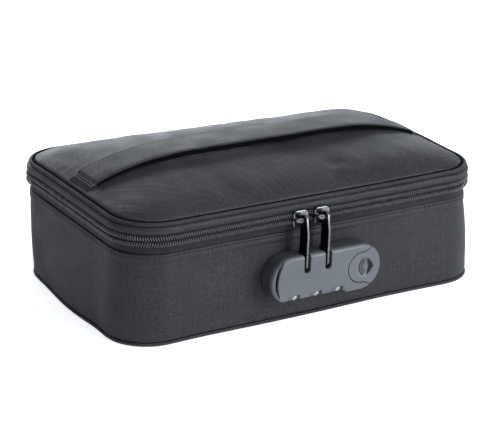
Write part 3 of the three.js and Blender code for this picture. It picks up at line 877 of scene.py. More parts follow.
def build_tape(name, node, low, high, body):
    """One knitted zip tape, a thin band with a folded edge."""
    z_out = np.linspace(low, high, 12)
    z_row = np.concatenate([z_out, z_out[::-1]])
    out_row = np.concatenate([np.full(12, TAPE_OUT), np.full(12, TAPE_OUT - TAPE_THICK)])

    def rows(x, y):
        wave = ring_wave(x, y, 18, 11.0)
        return out_row + 0.12 * wave, z_row

    grid = ring_grid(LID, 420, rows, ZIP_START, LID.length - ZIP_START)
    tape = grid_mesh(name, grid, tape_cloth, close_v=True, caps=True)
    hand_over(tape, body, node)


def build_coil(name, node, sign, body):
    """Half of the zip's coil: slanted wire loops over a core cord, along one tape."""
    starts = np.arange(ZIP_START + 1, LID.length - ZIP_START - 1, COIL_PITCH)
    starts = starts + (COIL_PITCH / 2 if sign > 0 else 0)
    share = np.linspace(0, 1, 8)
    rise = COIL_TOP - (COIL_TOP - 0.38) * share
    out = -1.5 + 2.1 * np.sin(math.pi * (0.1 + 0.72 * share)) ** 0.8
    chunks = []
    for start in starts:
        x, y, nx, ny = LID.at(start + 0.95 * share)
        spine = np.stack([x + nx * out, y + ny * out, ZIP_Z + sign * rise], -1)
        rings = tube_points(spine, WIRE_RADIUS * (1 - 0.2 * share), 6, (nx[3], ny[3], 0))
        chunks.append((rings, tube_faces(8, 6)))
    s = np.linspace(ZIP_START + 0.5, LID.length - ZIP_START - 0.5, 300)
    x, y, nx, ny = LID.at(s)
    core_z = ZIP_Z + sign * COIL_TOP * CORE_RISE
    core = np.stack([x + nx * CORE_OUT, y + ny * CORE_OUT, np.full_like(x, core_z)], -1)
    loop_faces = len(chunks) * len(chunks[0][1])
    chunks.append((tube_points(core, np.full(300, CORE_RADIUS), 8, (0, 0, 1)), tube_faces(300, 8)))
    coil = joined_mesh(name, chunks, coil_nylon)
    # The core cord is near black, as painted shade between the wires.
    coil.data.materials.append(coil_core_shade)
    kinds = (np.arange(len(coil.data.polygons)) >= loop_faces).astype(int)
    coil.data.polygons.foreach_set("material_index", kinds.tolist())
    hand_over(coil, body, node)


def build_hinge():
    """The strip of nylon across the back that the lid folds on; its lower edge laps over the side wall."""
    x = np.linspace(-HINGE_HALF, HINGE_HALF, 90)
    z = np.linspace(hinge_low[2] - HINGE_LAP, hinge_high[2] + 0.25, 44)
    xx, zz = np.meshgrid(x, z, indexing="ij")
    soft = wander(np.stack([xx, 0 * xx, zz], -1).reshape(-1, 3), 17, 6.0).reshape(xx.shape)
    outer = np.stack([xx, hinge_high[1] + 0.15 * soft, zz], -1)[:, ::-1]
    inner = outer[:, ::-1] - (0, 1.1, 0)
    grid = np.concatenate([inner, outer], axis=1)
    strip = grid_mesh("hinge_cloth", grid, shell_cloth, close_v=True, caps=True)
    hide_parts("hinge_strip")
    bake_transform(strip)


# ---- Foam, lining and bindings ----

def soft_ring(name, node, outline, profile, material, body, size=0.0, seed=0.0, count=320):
    """A closed ring of soft material with a rounded profile of (outward offset, height) points."""
    profile = np.array(profile, float)

    def rows(x, y):
        wave = ring_wave(x, y, 30, seed) * size
        return profile[:, 0] + wave, profile[:, 1]

    ring = grid_mesh(name, ring_grid(outline, count, rows), material, close_u=True, close_v=True)
    hand_over(ring, body, node)


def rounded_profile(out_low, out_high, z_low, z_high, radius, steps=4):
    """A rectangle with round corners, anticlockwise in (outward offset, height)."""
    inner, outer = out_low + radius, out_high - radius
    low, high = z_low + radius, z_high - radius
    corners = ((outer, low, 3), (outer, high, 0), (inner, high, 1), (inner, low, 2))
    return [polar((out, z), radius, angle) for out, z, quarter in corners
            for angle in np.linspace(quarter, quarter + 1, steps) * math.pi / 2]


def cushion(name, node, outline, inset, bottom, top, material, body, relief=0.0):
    """A flat soft piece that fills an outline between a level underside and a top given for each point."""
    plan = pad_grid(outline, inset, 81, 51)
    columns, rows = plan.shape[:2]
    waves = wander(np.dstack([plan, 0 * plan[..., 0]]).reshape(-1, 3), 26, 8.0).reshape(columns, rows)
    upper_net = np.dstack([plan, top(plan) + relief * waves])
    lower_net = np.dstack([plan, np.full((columns, rows), float(bottom))])[::-1]
    faces = grid_faces(columns, rows, False, False)[0]
    rim = ([(i, 0) for i in range(columns)] + [(columns - 1, j) for j in range(1, rows)]
           + [(i, rows - 1) for i in range(columns - 2, -1, -1)] + [(0, j) for j in range(rows - 2, 0, -1)])
    top_ring = [i * rows + j for i, j in rim]
    low_ring = [columns * rows + (columns - 1 - i) * rows + j for i, j in rim]
    following = [(k + 1) % len(rim) for k in range(len(rim))]
    walls = [[low_ring[k], low_ring[after], top_ring[after], top_ring[k]]
             for k, after in enumerate(following)]
    points = np.concatenate([upper_net.reshape(-1, 3), lower_net.reshape(-1, 3)])
    polygons = faces.tolist() + (faces + columns * rows).tolist() + walls
    mesh = smooth_mesh(name, points, polygons)
    corner = np.array([loop.vertex_index for loop in mesh.loops])
    add_uv(mesh, points[corner][:, :2])
    sharpen(mesh, 50)
    obj = link(name, mesh, material)
    hand_over(obj, body, node)


def level(height):
    """A top for a cushion that is level."""
    return lambda plan: np.full(plan.shape[:2], float(height))


def under_lid(plan):
    """A top for a cushion that stays below the padded lid."""
    return relaxed(dome_height(plan), 60) - 2.6


def build_inside():
    """Foam, fire lining and bindings, which show when the lid is open."""
    foam_profile = rounded_profile(-5.5, -1.5, 4.8, 55.2, 1.2)
    soft_ring("wall_foam_pad", "wall_foam", BODY, foam_profile, foam_cells, "body")
    rim_profile = rounded_profile(-6.7, -1.45, 55.5, 57.0, 0.7)
    soft_ring("rim_binding_tape", "rim_binding", BODY, rim_profile, binding_cloth, "body",
              0.05, 3.0, 420)
    lid_profile = rounded_profile(-4.3, -3.2, 69.0, 72.5, 0.5)
    soft_ring("lid_binding_tape", "lid_binding", LID, lid_profile, binding_cloth, "lid",
              0.05, 5.0, 420)
    cushion("base_foam_pad", "base_foam", BODY, 5.8, 3.4, level(6.3), foam_cells, "body")
    cushion("base_cloth", "base_panel", BODY, 3.9, 0.0, level(1.0), shell_cloth, "body")
    cushion("lid_foam_pad", "lid_foam", LID, 4.8, 70.6, under_lid, foam_cells, "lid")
    cushion("lid_lining_cloth", "lid_liner", LID, 4.8, 69.7, level(70.25), lining_cloth,
            "lid")
    cushion("lining_floor", "body_liner", BODY, 8.8, 6.7, level(7.4), lining_cloth,
            "body", 0.05)
    build_liner_tray()


LINER_TOP, LINER_FOLD, LINER_OUT, LINER_THICK = 55.2, 9.5, -6.6, 0.75


def build_liner_tray():
    """The fire lining of the body: a tray of glass-fibre cloth with soft creases in its walls."""
    inner_z = np.linspace(LINER_TOP, LINER_FOLD, 24)
    fold = np.linspace(0, math.pi / 2, 6)[1:]
    out_row = np.concatenate([np.full(24, LINER_OUT), LINER_OUT - 2 * (1 - np.cos(fold))])
    z_row = np.concatenate([inner_z, LINER_FOLD - 2 * np.sin(fold)])
    upright = z_row[::-1] > LINER_FOLD - 0.1
    back_out = out_row[::-1] + LINER_THICK * np.where(upright, 1, 0.8)
    profile_out = np.concatenate([out_row, back_out])
    profile_z = np.concatenate([z_row, z_row[::-1] - np.where(upright, 0, LINER_THICK)])
    grid = ring_grid(BODY, 360, lambda x, y: (profile_out, profile_z))[:, ::-1]
    flat = grid.reshape(-1, 3)
    crease = wander(flat * (1, 1, 0.35), 20, 12.0).reshape(grid.shape[:2]) * 0.28
    grid = push_out(grid, -np.abs(crease) * (grid[..., 2] > 9))
    walls = grid_mesh("lining_walls", grid, lining_cloth, close_u=True, close_v=True)
    hand_over(walls, "body")


# ---- Carry strap ----

STRAP_Y = (strap_low[1] + strap_high[1]) / 2
STRAP_HALF = (strap_high[1] - strap_low[1]) / 2
STRAP_FREE = strap_high[0]
STRAP_TOP = strap_high[2]
STRAP_THICK = 3.2
STRAP_SEAM = STRAP_FREE + 9
STRAP_UNDER = 0.25
TAB_END = LID.half_x - PANEL_INSET + 0.5
TAB_DROP, FREE_BULGE = 1.3, 1.3
# Shares of the half width: the turned edges, whose upright sides are painted near black as the shade under
# the strap, and the painted shadow line along the back.
BOUND_EDGE, BACK_SHADOW_LINE = 0.995, 0.88


def strap_rise(x):
    """How far the strap has come up from the lid: 0 near its ends, 1 where it bridges freely."""
    return smooth_step(-0.1, 1, np.clip((STRAP_FREE + 6 - np.abs(x)) / 66, 0, 1))


def strap_underside(x):
    """Height of the strap's underside: flat on the lid at its ends, a little above it in the middle."""
    rim, ridge = LID.half_x - PANEL_INSET, LID.half_x - LID.half_y
    surface = padded((rim - np.abs(x)) / (rim - ridge))
    lift = STRAP_TOP - CREST_Z - STRAP_THICK
    rise = strap_rise(x)
    tucked = TAB_DROP * smooth_step(STRAP_SEAM + 4, TAB_END, np.abs(x))
    return surface + 0.3 + (lift - 0.3) * rise - tucked


def strap_section():
    """Half width and thickness profile of the strap: a padded band with turned, bound edges."""
    upper = np.sin(np.linspace(-1, 1, 33) * math.pi / 2)
    lower = np.array([1.0, 0.97, 0.75, 0.4, 0.0, -0.4, -0.75, -0.97, -1.0])
    rounded = 2.1 + 0.9 * np.sqrt(np.clip(1 - np.abs(upper) ** 20, 0, 1)) + 0.3 * (1 - upper ** 2)
    level_under = np.where(np.abs(lower) > 0.99, 0.6, STRAP_UNDER)
    return np.concatenate([upper, lower]) * STRAP_HALF, np.concatenate([rounded, level_under])


def strap_padding(x):
    """Share of the full thickness: the padding stops at the cross seam, and only a flat tab runs on."""
    return 1 - 0.68 * smooth_step(STRAP_SEAM - 1.6, STRAP_SEAM, np.abs(x))


def build_strap(side, sign):
    """One half of the carry strap, from the middle to the tab sewn into the lid's seam."""
    x = sign * np.concatenate([np.linspace(0, STRAP_SEAM - 3, 84),
                               np.linspace(STRAP_SEAM - 2.5, STRAP_SEAM + 1, 12),
                               np.linspace(STRAP_SEAM + 1.5, TAB_END, 12)])
    y, z = strap_section()
    wave = wander(np.stack([x, 0 * x, 0 * x], -1), 33, 2.0)[:, None]
    tab = smooth_step(STRAP_SEAM - 2, STRAP_SEAM + 1, np.abs(x))[:, None]
    height = (strap_underside(x)[:, None] + STRAP_UNDER + (z - STRAP_UNDER) * strap_padding(x)[:, None]
              - FREE_BULGE * strap_rise(x)[:, None] * (z < STRAP_THICK / 2))
    grid = np.stack([np.broadcast_to(x[:, None], (len(x), len(y))),
                     STRAP_Y + y * (1 - 0.04 * tab) + 0.15 * wave, height], -1)
    relief = wander(grid.reshape(-1, 3), 14, 3.0).reshape(grid.shape[:2])
    grid[..., 2] += 0.12 * relief
    if sign < 0:
        grid = grid[:, ::-1]
    strap = grid_mesh("strap_" + side, grid, strap_cloth, close_v=True, caps=True)
    strap.data.materials.append(edge_binding)
    strap.data.materials.append(painted_shade_cloth)
    for polygon in strap.data.polygons:
        off = (polygon.center.y / MM - STRAP_Y) / STRAP_HALF
        shaded_side = abs(off) > BOUND_EDGE and abs(polygon.normal.z) < 0.5
        on_tab = abs(polygon.center.x / MM) > STRAP_SEAM
        # Index 2, near black, is painted shade on the upright sides and painted shadow along the back edge;
        # index 1 is the tab's binding knit.
        polygon.material_index = 2 if shaded_side or off > BACK_SHADOW_LINE else int(on_tab)
    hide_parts("handle_end_" + side, "handle_strap")
    blend_strap(strap)
    build_strap_stitches(side, sign)


def blend_strap(obj):
    """Bakes the placement of a piece of the strap into its mesh."""
    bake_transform(obj)


def build_strap_stitches(side, sign):
    """Two sewn rows across the strap, where the padding stops and the flat tab starts."""
    y = np.linspace(-0.93, 0.93, 60) * STRAP_HALF
    for k, station in enumerate((STRAP_SEAM + 0.5, STRAP_SEAM + 2.1)):
        x = np.full_like(y, sign * station)
        z = strap_underside(x) + 0.3 + 3.0 * strap_padding(x)
        points, outward = np.stack([x, STRAP_Y + y, z], -1), np.tile((0.0, 0.0, 1.0), (len(x), 1))
        row = stitch_row(f"strap_stitches_{side}_{k}", points, outward,
                         pitch=2.6, length=1.8, radius=0.36, material=pale_thread)
        blend_strap(row)


# ---- Lock ----

LOCK_LEFT, LOCK_RIGHT = -24.3, 24.2
LOCK_RADIUS = 14.75
LOCK_Z = case_high[2] - LOCK_RADIUS
LOCK_FACE, LOCK_BACK = case_low[1], case_high[1]
LOCK_EDGE, LOCK_WALL = 2.0, 1.8
# The step under the dials: its height, and where it starts and ends along X.
DIAL_FLAT_Z = 17.5
FLAT_START, FLAT_END = (-35.5, -32.5), (12.5, 15)
dial_low, dial_high = box_mm("dial_left")
DIAL_Y, DIAL_Z = (dial_low[1] + dial_high[1]) / 2, (dial_low[2] + dial_high[2]) / 2
DIAL_RADIUS = (dial_high[1] - dial_low[1]) / 2
DIAL_WIDTH = dial_high[0] - dial_low[0]
# The slide button's round end, its flare to the right, the gap round it and what is cut into its face.
BUTTON_MIDDLE, BUTTON_RADIUS, BUTTON_GAP = (24.8, 30.4), 9.6, 0.62
FLARE_X, FLARE_LOW, FLARE_HIGH, PAST_LOCK = 32.2, 18.4, 42.7, 62
ARROW = ((28.4, 24.2), (31.4, 26.6), (33.4, 30.2), (31.4, 33.6), (28.4, 36.0), (30.2, 30.2))
GRIP_MIDDLE, GRIP_RADII = (30.5, 30.2), (4.2, 5.6, 7.0)
DISH_X, DISH_Z, DISH_RADIUS, DISH_OUT = 26.8, 30.2, 14.5, 12.9
# The arc cut into the left of the face: centre, radius, width, from and to in degrees.
FACE_ARC = ((-16.2, 30.2), 20, 2.0, 136, 208)
SLOT_HALF, SLOT_BOTTOM, SLOT_TOP = 2.35, 33.7, 52


def middles_x(stem, sides):
    """Middle along X of the CAD nodes for each side."""
    return {side: float(np.mean([corner[0] for corner in box_mm(stem + side)])) for side in sides}


DIAL_X = middles_x("dial_", ("left", "middle", "right"))
PULLER_X = middles_x("puller_", ("left", "right"))


def lock_loop(offset, round_steps=28):
    """The lock's outline as x and z, grown by an offset: a bar with round ends, stepped under the dials."""
    right = np.linspace(-math.pi / 2, math.pi / 2, round_steps)
    left = right + math.pi
    radius = LOCK_RADIUS + offset
    top = np.linspace(LOCK_RIGHT, LOCK_LEFT, 16)[1:-1]
    under = np.linspace(LOCK_LEFT, LOCK_RIGHT, 60)[1:-1]
    x = np.concatenate([LOCK_RIGHT + radius * np.cos(right), top, LOCK_LEFT + radius * np.cos(left), under])
    z = np.concatenate([LOCK_Z + radius * np.sin(right), np.full(14, LOCK_Z + radius),
                        LOCK_Z + radius * np.sin(left), np.full(58, LOCK_Z - radius)])
    flat = smooth_step(*FLAT_START, x) * (1 - smooth_step(*FLAT_END, x))
    return x, z + (np.maximum(z, DIAL_FLAT_Z - offset) - z) * flat


def lock_block(name, grow=0.0, edge=LOCK_EDGE, front=LOCK_FACE, back=LOCK_BACK):
    """The lock's solid block with a rounded front edge."""
    turn = np.linspace(0, math.pi / 2, 9)
    offsets = [grow - edge * (1 - math.sin(a)) for a in turn] + [grow]
    depths = [front + edge * (1 - math.cos(a)) for a in turn] + [back]
    rings = []
    for offset, y in zip(offsets, depths):
        x, z = lock_loop(offset)
        rings.append(np.stack([x, np.full_like(x, y), z], -1))
    return grid_mesh(name, np.array(rings), lock_plastic, close_v=True, caps=True)


def lock_hollow(skin):
    """Cutter for the inside of the lock, behind a face of some thickness."""
    return lock_block("hollow", grow=-LOCK_WALL, edge=1.5, front=LOCK_FACE + skin, back=LOCK_BACK + 5)


def prism(name, outline, low_y, high_y):
    """A solid between two depths from an (x, z) outline that runs anticlockwise seen from the front."""
    x, z = np.array(outline, float).T
    rings = np.array([np.stack([x, np.full_like(x, y), z], -1) for y in (low_y, high_y)])
    return grid_mesh(name, rings, lock_plastic, close_v=True, caps=True)


def boxed(name, low, high):
    """A rectangular cutter."""
    corners = [(low[0], low[2]), (high[0], low[2]), (high[0], high[2]), (low[0], high[2])]
    return prism(name, corners, low[1], high[1])


def face_cut(name, outline, depth):
    """A cutter that goes into the lock's face to a depth."""
    return prism(name, outline, LOCK_FACE - 3, LOCK_FACE + depth)


def button_prism(name, grow):
    """The slide button's outline right through the lock."""
    return prism(name, button_seam(grow), LOCK_FACE - 8, LOCK_BACK + 10)


def combine(obj, operation, tools):
    """Intersects an object with tools or cuts them out of it, and throws them away."""
    for tool in tools:
        modifier = obj.modifiers.new("Combine", "BOOLEAN")
        modifier.operation, modifier.solver, modifier.object = operation, "EXACT", tool
        bake_modifiers(obj)
        bpy.data.objects.remove(tool)


def satin_edges(obj, degrees=32):
    """Keeps flat faces flat where they run into rounded edges."""
    obj.data.polygons.foreach_set("use_smooth", [True] * len(obj.data.polygons))
    sharpen(obj.data, degrees)
    weights = obj.modifiers.new("Flat faces", "WEIGHTED_NORMAL")
    weights.keep_sharp = True
    weights.weight = 100


def button_seam(grow):
    """The outline of the slide button: a round pad that flares out to the lock's right end."""
    low, high = FLARE_LOW - grow, FLARE_HIGH + grow
    return (arc_points(BUTTON_MIDDLE, BUTTON_RADIUS + grow, 80, 280, 44)
            + [(FLARE_X, low), (PAST_LOCK, low), (PAST_LOCK, high), (FLARE_X, high)])


def crescent(centre, radius, width, from_degrees, to_degrees):
    """A groove outline that tapers to both ends of an arc."""
    share = np.linspace(0, 1, 32)
    angle = np.radians(from_degrees + (to_degrees - from_degrees) * share)
    half = 0.12 + width / 2 * np.sin(math.pi * share) ** 0.7
    outer = [polar(centre, radius + h, a) for a, h in zip(angle, half)]
    inner = [polar(centre, radius - h, a) for a, h in zip(angle, half)]
    return outer + inner[::-1]


def slot_outline(x):
    """The slot that a puller's tip drops into: round at the bottom, open at the top."""
    middle = (x, SLOT_BOTTOM + SLOT_HALF)
    arc = [polar(middle, SLOT_HALF, angle) for angle in np.linspace(math.pi, TAU, 14)]
    return arc + [(x + SLOT_HALF, SLOT_TOP), (x - SLOT_HALF, SLOT_TOP)]


def build_lock_case():
    """The lock's hollow case with its dial windows, puller slots and the seam round the slide button."""
    case = lock_block("lock_housing")
    cutters = [lock_hollow(LOCK_WALL), button_prism("seam", BUTTON_GAP)]
    half = DIAL_WIDTH / 2 + 0.4
    for x in DIAL_X.values():
        for name, front, top in (("window", -3, DIAL_Z - 0.4), ("pocket", 0.7, DIAL_Z + 6)):
            low, high = (x - half, LOCK_FACE + front, 10), (x + half, LOCK_BACK - 0.5, top)
            cutters.append(boxed(name, low, high))
    for x in PULLER_X.values():
        cutters.append(prism("slot", slot_outline(x), LOCK_FACE - 3, LOCK_BACK + 10))
    cutters.append(face_cut("groove", crescent(*FACE_ARC), 2.2))
    combine(case, "DIFFERENCE", cutters)
    satin_edges(case)
    hand_over(case, "body", "lock_case")


def build_lock_button():
    """The slide button: its face dips to the right, with an arrow-shaped recess and three grip grooves."""
    button = lock_block("slide_button")
    combine(button, "INTERSECT", [button_prism("pad", 0.0)])
    hollow = lock_hollow(3.4)
    recess = face_cut("arrow", ARROW, 3.0)
    grooves = [face_cut("grip", crescent(GRIP_MIDDLE, radius, 0.8, 120, 240), 2.0) for radius in GRIP_RADII]
    combine(button, "DIFFERENCE", [dish_cutter(), recess, *grooves, hollow])
    satin_edges(button)
    hand_over(button, "lock_button", "lock_button")


def dish_cutter():
    """A shallow bowl for the thumb."""
    middle = (DISH_X * MM, (LOCK_FACE - DISH_OUT) * MM, DISH_Z * MM)
    bpy.ops.mesh.primitive_uv_sphere_add(segments=96, ring_count=48, radius=DISH_RADIUS * MM,
                                         location=middle)
    return bpy.context.object


# ---- Number wheels ----

DIGIT_STEP, FRONT_DIGIT_TURN = 36, -32
DIGIT_SIZE, DIGIT_RAISED, DIGIT_SHIFT = 4.8, 0.05, 1.55
NOTCH_DEPTH, NOTCH_WIDTH = 1.1, 0.07
HUB_RADIUS = 2.0


def build_dial(side, x):
    """A number wheel: ten shallow notches, and white digits round its rim."""
    sides = 180
    angle = np.arange(sides) / sides * TAU
    notch = np.exp(-((np.mod(angle / math.radians(DIGIT_STEP) + 0.5, 1) - 0.5) / NOTCH_WIDTH) ** 2)
    half, rim = DIAL_WIDTH / 2, DIAL_RADIUS
    across = [(-half, HUB_RADIUS), (-half, rim - 0.5), (-half + 0.15, rim - 0.15), (-half + 0.5, rim),
              (-half + 1.9, rim), (-half + 2.2, rim), (half - 0.5, rim), (half - 0.15, rim - 0.15),
              (half, rim - 0.5), (half, HUB_RADIUS)]
    rings = []
    for offset, radius in across:
        deep = NOTCH_DEPTH * notch * (radius > HUB_RADIUS) * (offset < -half + 2)
        rings.append(np.stack([np.full(sides, x + offset), DIAL_Y - (radius - deep) * np.cos(angle),
                               DIAL_Z + (radius - deep) * np.sin(angle)], -1))
    wheel = grid_mesh("number_wheel_" + side, np.array(rings), lock_plastic, close_u=True, close_v=True)
    sharpen(wheel.data, 28)
    hand_over(wheel, "dial_" + side, "dial_" + side)
    painted = join_objects("digits_" + side, [dial_digit(x, digit) for digit in range(10)])
    hand_over(painted, "dial_" + side)


def dial_digit(x, digit):
    """One digit, printed and wrapped on the wheel's rim."""
    curve = bpy.data.curves.new("digit", "FONT")
    curve.body = str(digit)
    curve.size = DIGIT_SIZE * MM
    curve.extrude = DIGIT_RAISED * MM
    curve.offset = 0.02 * MM
    curve.align_x, curve.align_y = "CENTER", "CENTER"
    text = link("digit", curve, digit_paint)
    mesh = bpy.data.meshes.new_from_object(text.evaluated_get(bpy.context.evaluated_depsgraph_get()))
    bpy.data.objects.remove(text)
    wrap_on_wheel(mesh, x, digit)
    return link("digit", mesh)


def wrap_on_wheel(mesh, x, digit):
    """Bends a flat digit round the wheel, at its own place on the rim."""
    middle = math.radians(FRONT_DIGIT_TURN - DIGIT_STEP * digit)
    for vertex in mesh.vertices:
        turn = middle + vertex.co.y / MM / DIAL_RADIUS
        radius = DIAL_RADIUS + 0.02 + vertex.co.z / MM * 0.6
        vertex.co = Vector((x + DIGIT_SHIFT + vertex.co.x / MM, DIAL_Y - radius * math.cos(turn),
                            DIAL_Z + radius * math.sin(turn))) * MM


def join_objects(name, objects):
    """Joins meshes into the first one."""
    with bpy.context.temp_override(active_object=objects[0], selected_editable_objects=objects,
                                   selected_objects=objects):
        bpy.ops.object.join()
    objects[0].name = name
    return objects[0]


# ---- Stiff parts inside ----

STEEL_PARTS = ("lock_backing_plate", "lock_screw_left", "lock_screw_right", "latch_bar",
               "latch_detent_spring", "dial_detent_spring", "dial_axle")


def dress(node, material, bevel_mm):
    """Gives a CAD node its material and small rounded edges."""
    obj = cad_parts[node]
    obj.data.materials.clear()
    obj.data.materials.append(material)
    bevel = obj.modifiers.new("Edges", "BEVEL")
    bevel.width, bevel.segments = bevel_mm * MM, 2
    bevel.limit_method, bevel.angle_limit = "ANGLE", math.radians(40)


def dress_fixings():
    """The stiff parts inside, which keep their CAD shapes."""
    for node in STEEL_PARTS:
        dress(node, inner_steel, 0.12)
    for side in DIAL_X:
        dress("dial_sleeve_" + side, brass, 0.1)
    dress("lock_base", lock_plastic, 0.3)
    dress("base_board", board_plastic, 0.4)


# ---- Zip sliders and pullers ----

# Middles of the puller's head and of its tip, as (y, z), and its thickness.
PULLER_HEAD, PULLER_TIP, PULLER_THICK = (-86.4, 65.5), (-88.2, 38.2), 1.45
# Round corners of the slider's face: offset from its middle, height, radius and first direction.
FACE_CORNERS = ((-2.6, 68.0, 2.2, 90), (-3.2, 62.4, 1.6, 180), (3.2, 62.4, 1.6, 270), (2.6, 68.0, 2.2, 0))
FACE_Y, FACE_THICK = -81.7, 1.7
CROWN_Y, CROWN_Z, CROWN_REACH, CROWN_STRETCH = -82.2, 65.5, 4.2, 1.6
# The lip under the coil: its depth, then offset, height and radius along it.
LIP_Y = -80.9
LIP = ((-4.2, 61.4, 0.6), (-2, 61.0, 0.8), (2, 61.0, 0.8), (4.2, 61.4, 0.6))


def plate_piece(name, loops, thickness, edge, material, matrix):
    """A flat part from 2-D loops (the first is its outline, others are holes), with rounded edges."""
    curve = bpy.data.curves.new(name, "CURVE")
    curve.dimensions, curve.fill_mode = "2D", "BOTH"
    curve.extrude, curve.bevel_depth, curve.bevel_resolution = (thickness / 2 - edge) * MM, edge * MM, 2
    for loop in loops:
        spline = curve.splines.new("POLY")
        spline.points.add(len(loop) - 1)
        for point, (u, v) in zip(spline.points, loop):
            point.co = (u * MM, v * MM, 0, 1)
        spline.use_cyclic_u = True
    shape = link(name, curve)
    mesh = bpy.data.meshes.new_from_object(shape.evaluated_get(bpy.context.evaluated_depsgraph_get()))
    bpy.data.objects.remove(shape)
    mesh.transform(matrix)
    obj = link(name, mesh)
    mesh.materials.clear()
    mesh.materials.append(material)
    obj.data.polygons.foreach_set("use_smooth", [True] * len(mesh.polygons))
    sharpen(mesh, 35)
    return obj




def build_puller(side, x):
    """A flat puller hanging edge-on: round head, straight shank, round tip with the latch eye."""
    y = PULLER_TIP[0]
    outline = (arc_points(PULLER_HEAD, 3.3, 0, 150) + [(y - 2.95, 58.0)]
               + arc_points(PULLER_TIP, 2.95, 180, 290)
               + [(y + 3.4, 36.6), (y + 4.9, 38.4), (y + 4.9, 60.0)])
    loops = [outline, arc_points(PULLER_HEAD, 2.0, 0, 340, 24), arc_points(PULLER_TIP, 1.6, 0, 340, 24)]
    upright = Matrix(((0, 0, 1, x * MM), (1, 0, 0, 0), (0, 1, 0, 0), (0, 0, 0, 1)))
    puller = plate_piece("puller_tab_" + side, loops, PULLER_THICK, 0.3, puller_metal(), upright)
    hand_over(puller, "puller_" + side, "puller_" + side)


def puller_metal():
    """Dark knurled side faces and worn, shiny narrow edges."""
    finish = Finish("puller_metal", (0.2, 0.2, 0.21), 0.34, metallic=1.0)
    finish.soft_edges(0.15)
    normal = finish.separated(finish.node("TexCoord").outputs["Normal"])
    side = finish.calc("GREATER_THAN", finish.calc("ABSOLUTE", normal[0]), 0.8)
    finish.toward(side, (0.012, 0.012, 0.013))
    finish.bump(finish.grain(900, 3.0), 0.08)
    finish.mottle(500, 3.0, 0.7, 1.3)
    finish.scuff(400, 3.0, 0.8, 1.5)
    return finish.material


def build_slider(side, x):
    """A slider: a shield-shaped face over the coil, a lip below, and a crown loop for the puller."""
    outline = [point for out, z, radius, start in FACE_CORNERS
               for point in arc_points((x + out, z), radius, start, start + 90, 8)]
    upright = Matrix(((1, 0, 0, 0), (0, 0, -1, FACE_Y * MM), (0, 1, 0, 0), (0, 0, 0, 1)))
    face = plate_piece("slider_face", [outline], FACE_THICK, 0.45, gunmetal, upright)
    share = np.linspace(0, 1, 26)
    spine = np.stack([x - CROWN_REACH * np.cos(math.pi * share),
                      CROWN_Y - CROWN_REACH * np.sin(math.pi * share) ** 0.55, CROWN_Z + 0 * share], -1)
    loop = tube_points(spine, np.full(26, 1.0), 14, (0, 0, 1))
    loop[:, 2] = CROWN_Z + CROWN_STRETCH * (loop[:, 2] - CROWN_Z)
    crown = joined_mesh("crown", [(loop, tube_faces(26, 14))], gunmetal)
    spine = [(x + out, LIP_Y, z) for out, z, _ in LIP]
    rings = tube_points(spine, [radius for *_, radius in LIP], 12, (0, 0, 1))
    lip = joined_mesh("lip", [(rings, tube_faces(4, 12))], gunmetal)
    slider = join_objects("slider_body_" + side, [face, crown, lip])
    hand_over(slider, "slider_" + side, "slider_" + side)


# ---- Studio and camera ----

# How the backdrop fades upwards, to the right and to the back: from low, from high, to low, to high.
WORLD_UP = (0.05, 0.6, 1.9, 0.25)
WORLD_RIGHT = (-1.0, 0.1, 0.25, 1.0)
WORLD_BACK = (-0.2, 0.8, 0.3, 1.0)
BACKDROP_SEEN = 1.2
FLOOR_SEEN, FLOOR_GLOW = 0.62, 0.1
SKY_COLOR, LAMP_COLOR, GLOW_COLOR = (0.88, 0.94, 1.0, 1), (0.9, 0.95, 1.0), (0.97, 0.985, 1.0, 1)
FLOOR_REACH, FLOOR_DROP = 6, 0.0004
LIGHT_TARGET = Vector((0, 0, 0.04))
# Azimuth, elevation, distance, size and power of each light.
LIGHTS = {
    "top_light": (20, 75, 1.3, (1.0, 0.8), 7),
    "front_light": (32, 25, 1.6, (0.8, 0.9), 21),
    "left_fill": (-50, 12, 1.6, (1.2, 1.0), 6.5),
    "back_light": (160, 14, 1.5, (1.2, 0.6), 5.5),
}

CAMERA_TARGET = (-3.20, -5.85, 42.64)
CAMERA_AZIMUTH, CAMERA_ELEVATION, CAMERA_ROLL = -31.84, 20.30, 1.83
CAMERA_DISTANCE, CAMERA_LENS = 1119.5, 126.4


def camera_turn(azimuth, elevation):
    """Right, up and forward directions of a camera that looks from an azimuth and elevation."""
    a, e = math.radians(azimuth), math.radians(elevation)
    forward = Vector((-math.sin(a) * math.cos(e), math.cos(a) * math.cos(e), -math.sin(e)))
    right = Vector((math.cos(a), math.sin(a), 0))
    return right, right.cross(forward), forward


def facing(right, up, forward):
    """The turn of a camera or light that has these directions."""
    return Matrix((right, up, -forward)).transposed().to_4x4()


def add_camera():
    data = bpy.data.cameras.new("camera")
    data.lens, data.sensor_width, data.clip_end = CAMERA_LENS, 36, 20
    right, up, forward = camera_turn(CAMERA_AZIMUTH, CAMERA_ELEVATION)
    roll = math.radians(CAMERA_ROLL)
    rolled = right * math.cos(roll) + up * math.sin(roll)
    up = up * math.cos(roll) - right * math.sin(roll)
    camera = link("camera", data)
    place = (Vector(CAMERA_TARGET) - forward * CAMERA_DISTANCE) * MM
    camera.matrix_world = Matrix.Translation(place) @ facing(rolled, up, forward)
    bpy.context.scene.camera = camera


def area_light(name, azimuth, elevation, distance, size, power):
    """A rectangular light, unseen itself, that shines at the middle of the object."""
    data = bpy.data.lights.new(name, "AREA")
    data.shape, data.size, data.size_y, data.energy = "RECTANGLE", size[0], size[1], power
    data.color = LAMP_COLOR
    light = link(name, data)
    light.visible_camera = False
    right, up, forward = camera_turn(azimuth, elevation)
    place = LIGHT_TARGET - forward * distance
    light.matrix_world = Matrix.Translation(place) @ facing(right, up, forward)


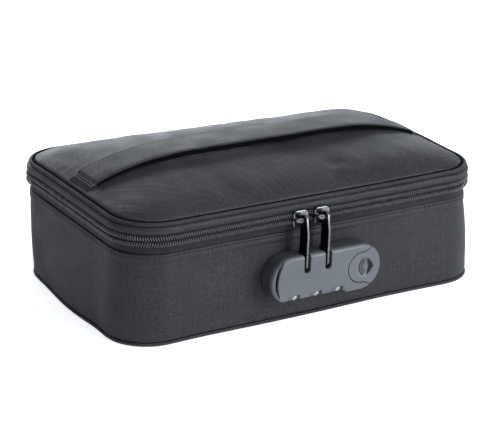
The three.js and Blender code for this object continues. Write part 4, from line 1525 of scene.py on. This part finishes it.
def studio_world():
    """A bright backdrop that fades upwards, to the front and to the left; the camera sees it white."""
    world = bpy.data.worlds.new("studio")
    world.use_nodes = True
    sky = Nodes(world.node_tree)
    direction = sky.separated(sky.node("TexCoord").outputs["Generated"])
    strength = sky.mapped(direction["Z"], WORLD_UP)
    for axis, settings in (("X", WORLD_RIGHT), ("Y", WORLD_BACK)):
        strength = sky.calc("MULTIPLY", strength, sky.mapped(direction[axis], settings))
    white = sky.calc("MULTIPLY", sky.node("LightPath").outputs["Is Camera Ray"], BACKDROP_SEEN)
    background = sky.tree.nodes["Background"]
    background.inputs["Color"].default_value = SKY_COLOR
    sky.link(sky.calc("MAXIMUM", strength, white), background.inputs["Strength"])
    return world


def build_studio():
    """A paper floor that glows a little, the backdrop and the lights."""
    corners = [(x * FLOOR_REACH, y * FLOOR_REACH, -FLOOR_DROP)
               for x, y in ((-1, -1), (1, -1), (1, 1), (-1, 1))]
    floor_mesh = bpy.data.meshes.new("floor")
    floor_mesh.from_pydata(corners, [], [(0, 1, 2, 3)])
    paper = Finish("floor_paper", (0.93, 0.93, 0.94), 0.7, specular=0.2)
    paper.mottle(3, 2.0, 0.995, 1.005)
    paper.shader.inputs["Emission Color"].default_value = GLOW_COLOR
    camera_ray = paper.node("LightPath").outputs["Is Camera Ray"]
    glow = paper.calc("MULTIPLY_ADD", camera_ray, FLOOR_SEEN, FLOOR_GLOW)
    paper.link(glow, paper.shader.inputs["Emission Strength"])
    link("floor", floor_mesh, paper.material)
    bpy.context.scene.world = studio_world()
    for name, settings in LIGHTS.items():
        area_light(name, *settings)
    view = bpy.context.scene.view_settings
    view.view_transform, view.look = "Standard", "None"


build_wall()
build_wall_stitches()
build_cords()
build_band()
build_lid_panel()
build_tape("zip_tape_low", "zip_tape_lower", TAPE_LOW, ZIP_Z - 0.2, "body")
build_tape("zip_tape_high", "zip_tape_upper", ZIP_Z + 0.2, TAPE_HIGH, "lid")
build_coil("coil_low", "zip_coil_lower", -1, "body")
build_coil("coil_high", "zip_coil_upper", 1, "lid")
build_hinge()
build_inside()
build_strap("left", -1)
build_strap("right", 1)
build_lock_case()
build_lock_button()
for side, x in DIAL_X.items():
    build_dial(side, x)
dress_fixings()
for side, x in PULLER_X.items():
    build_slider(side, x)
    build_puller(side, x)
build_studio()
add_camera()
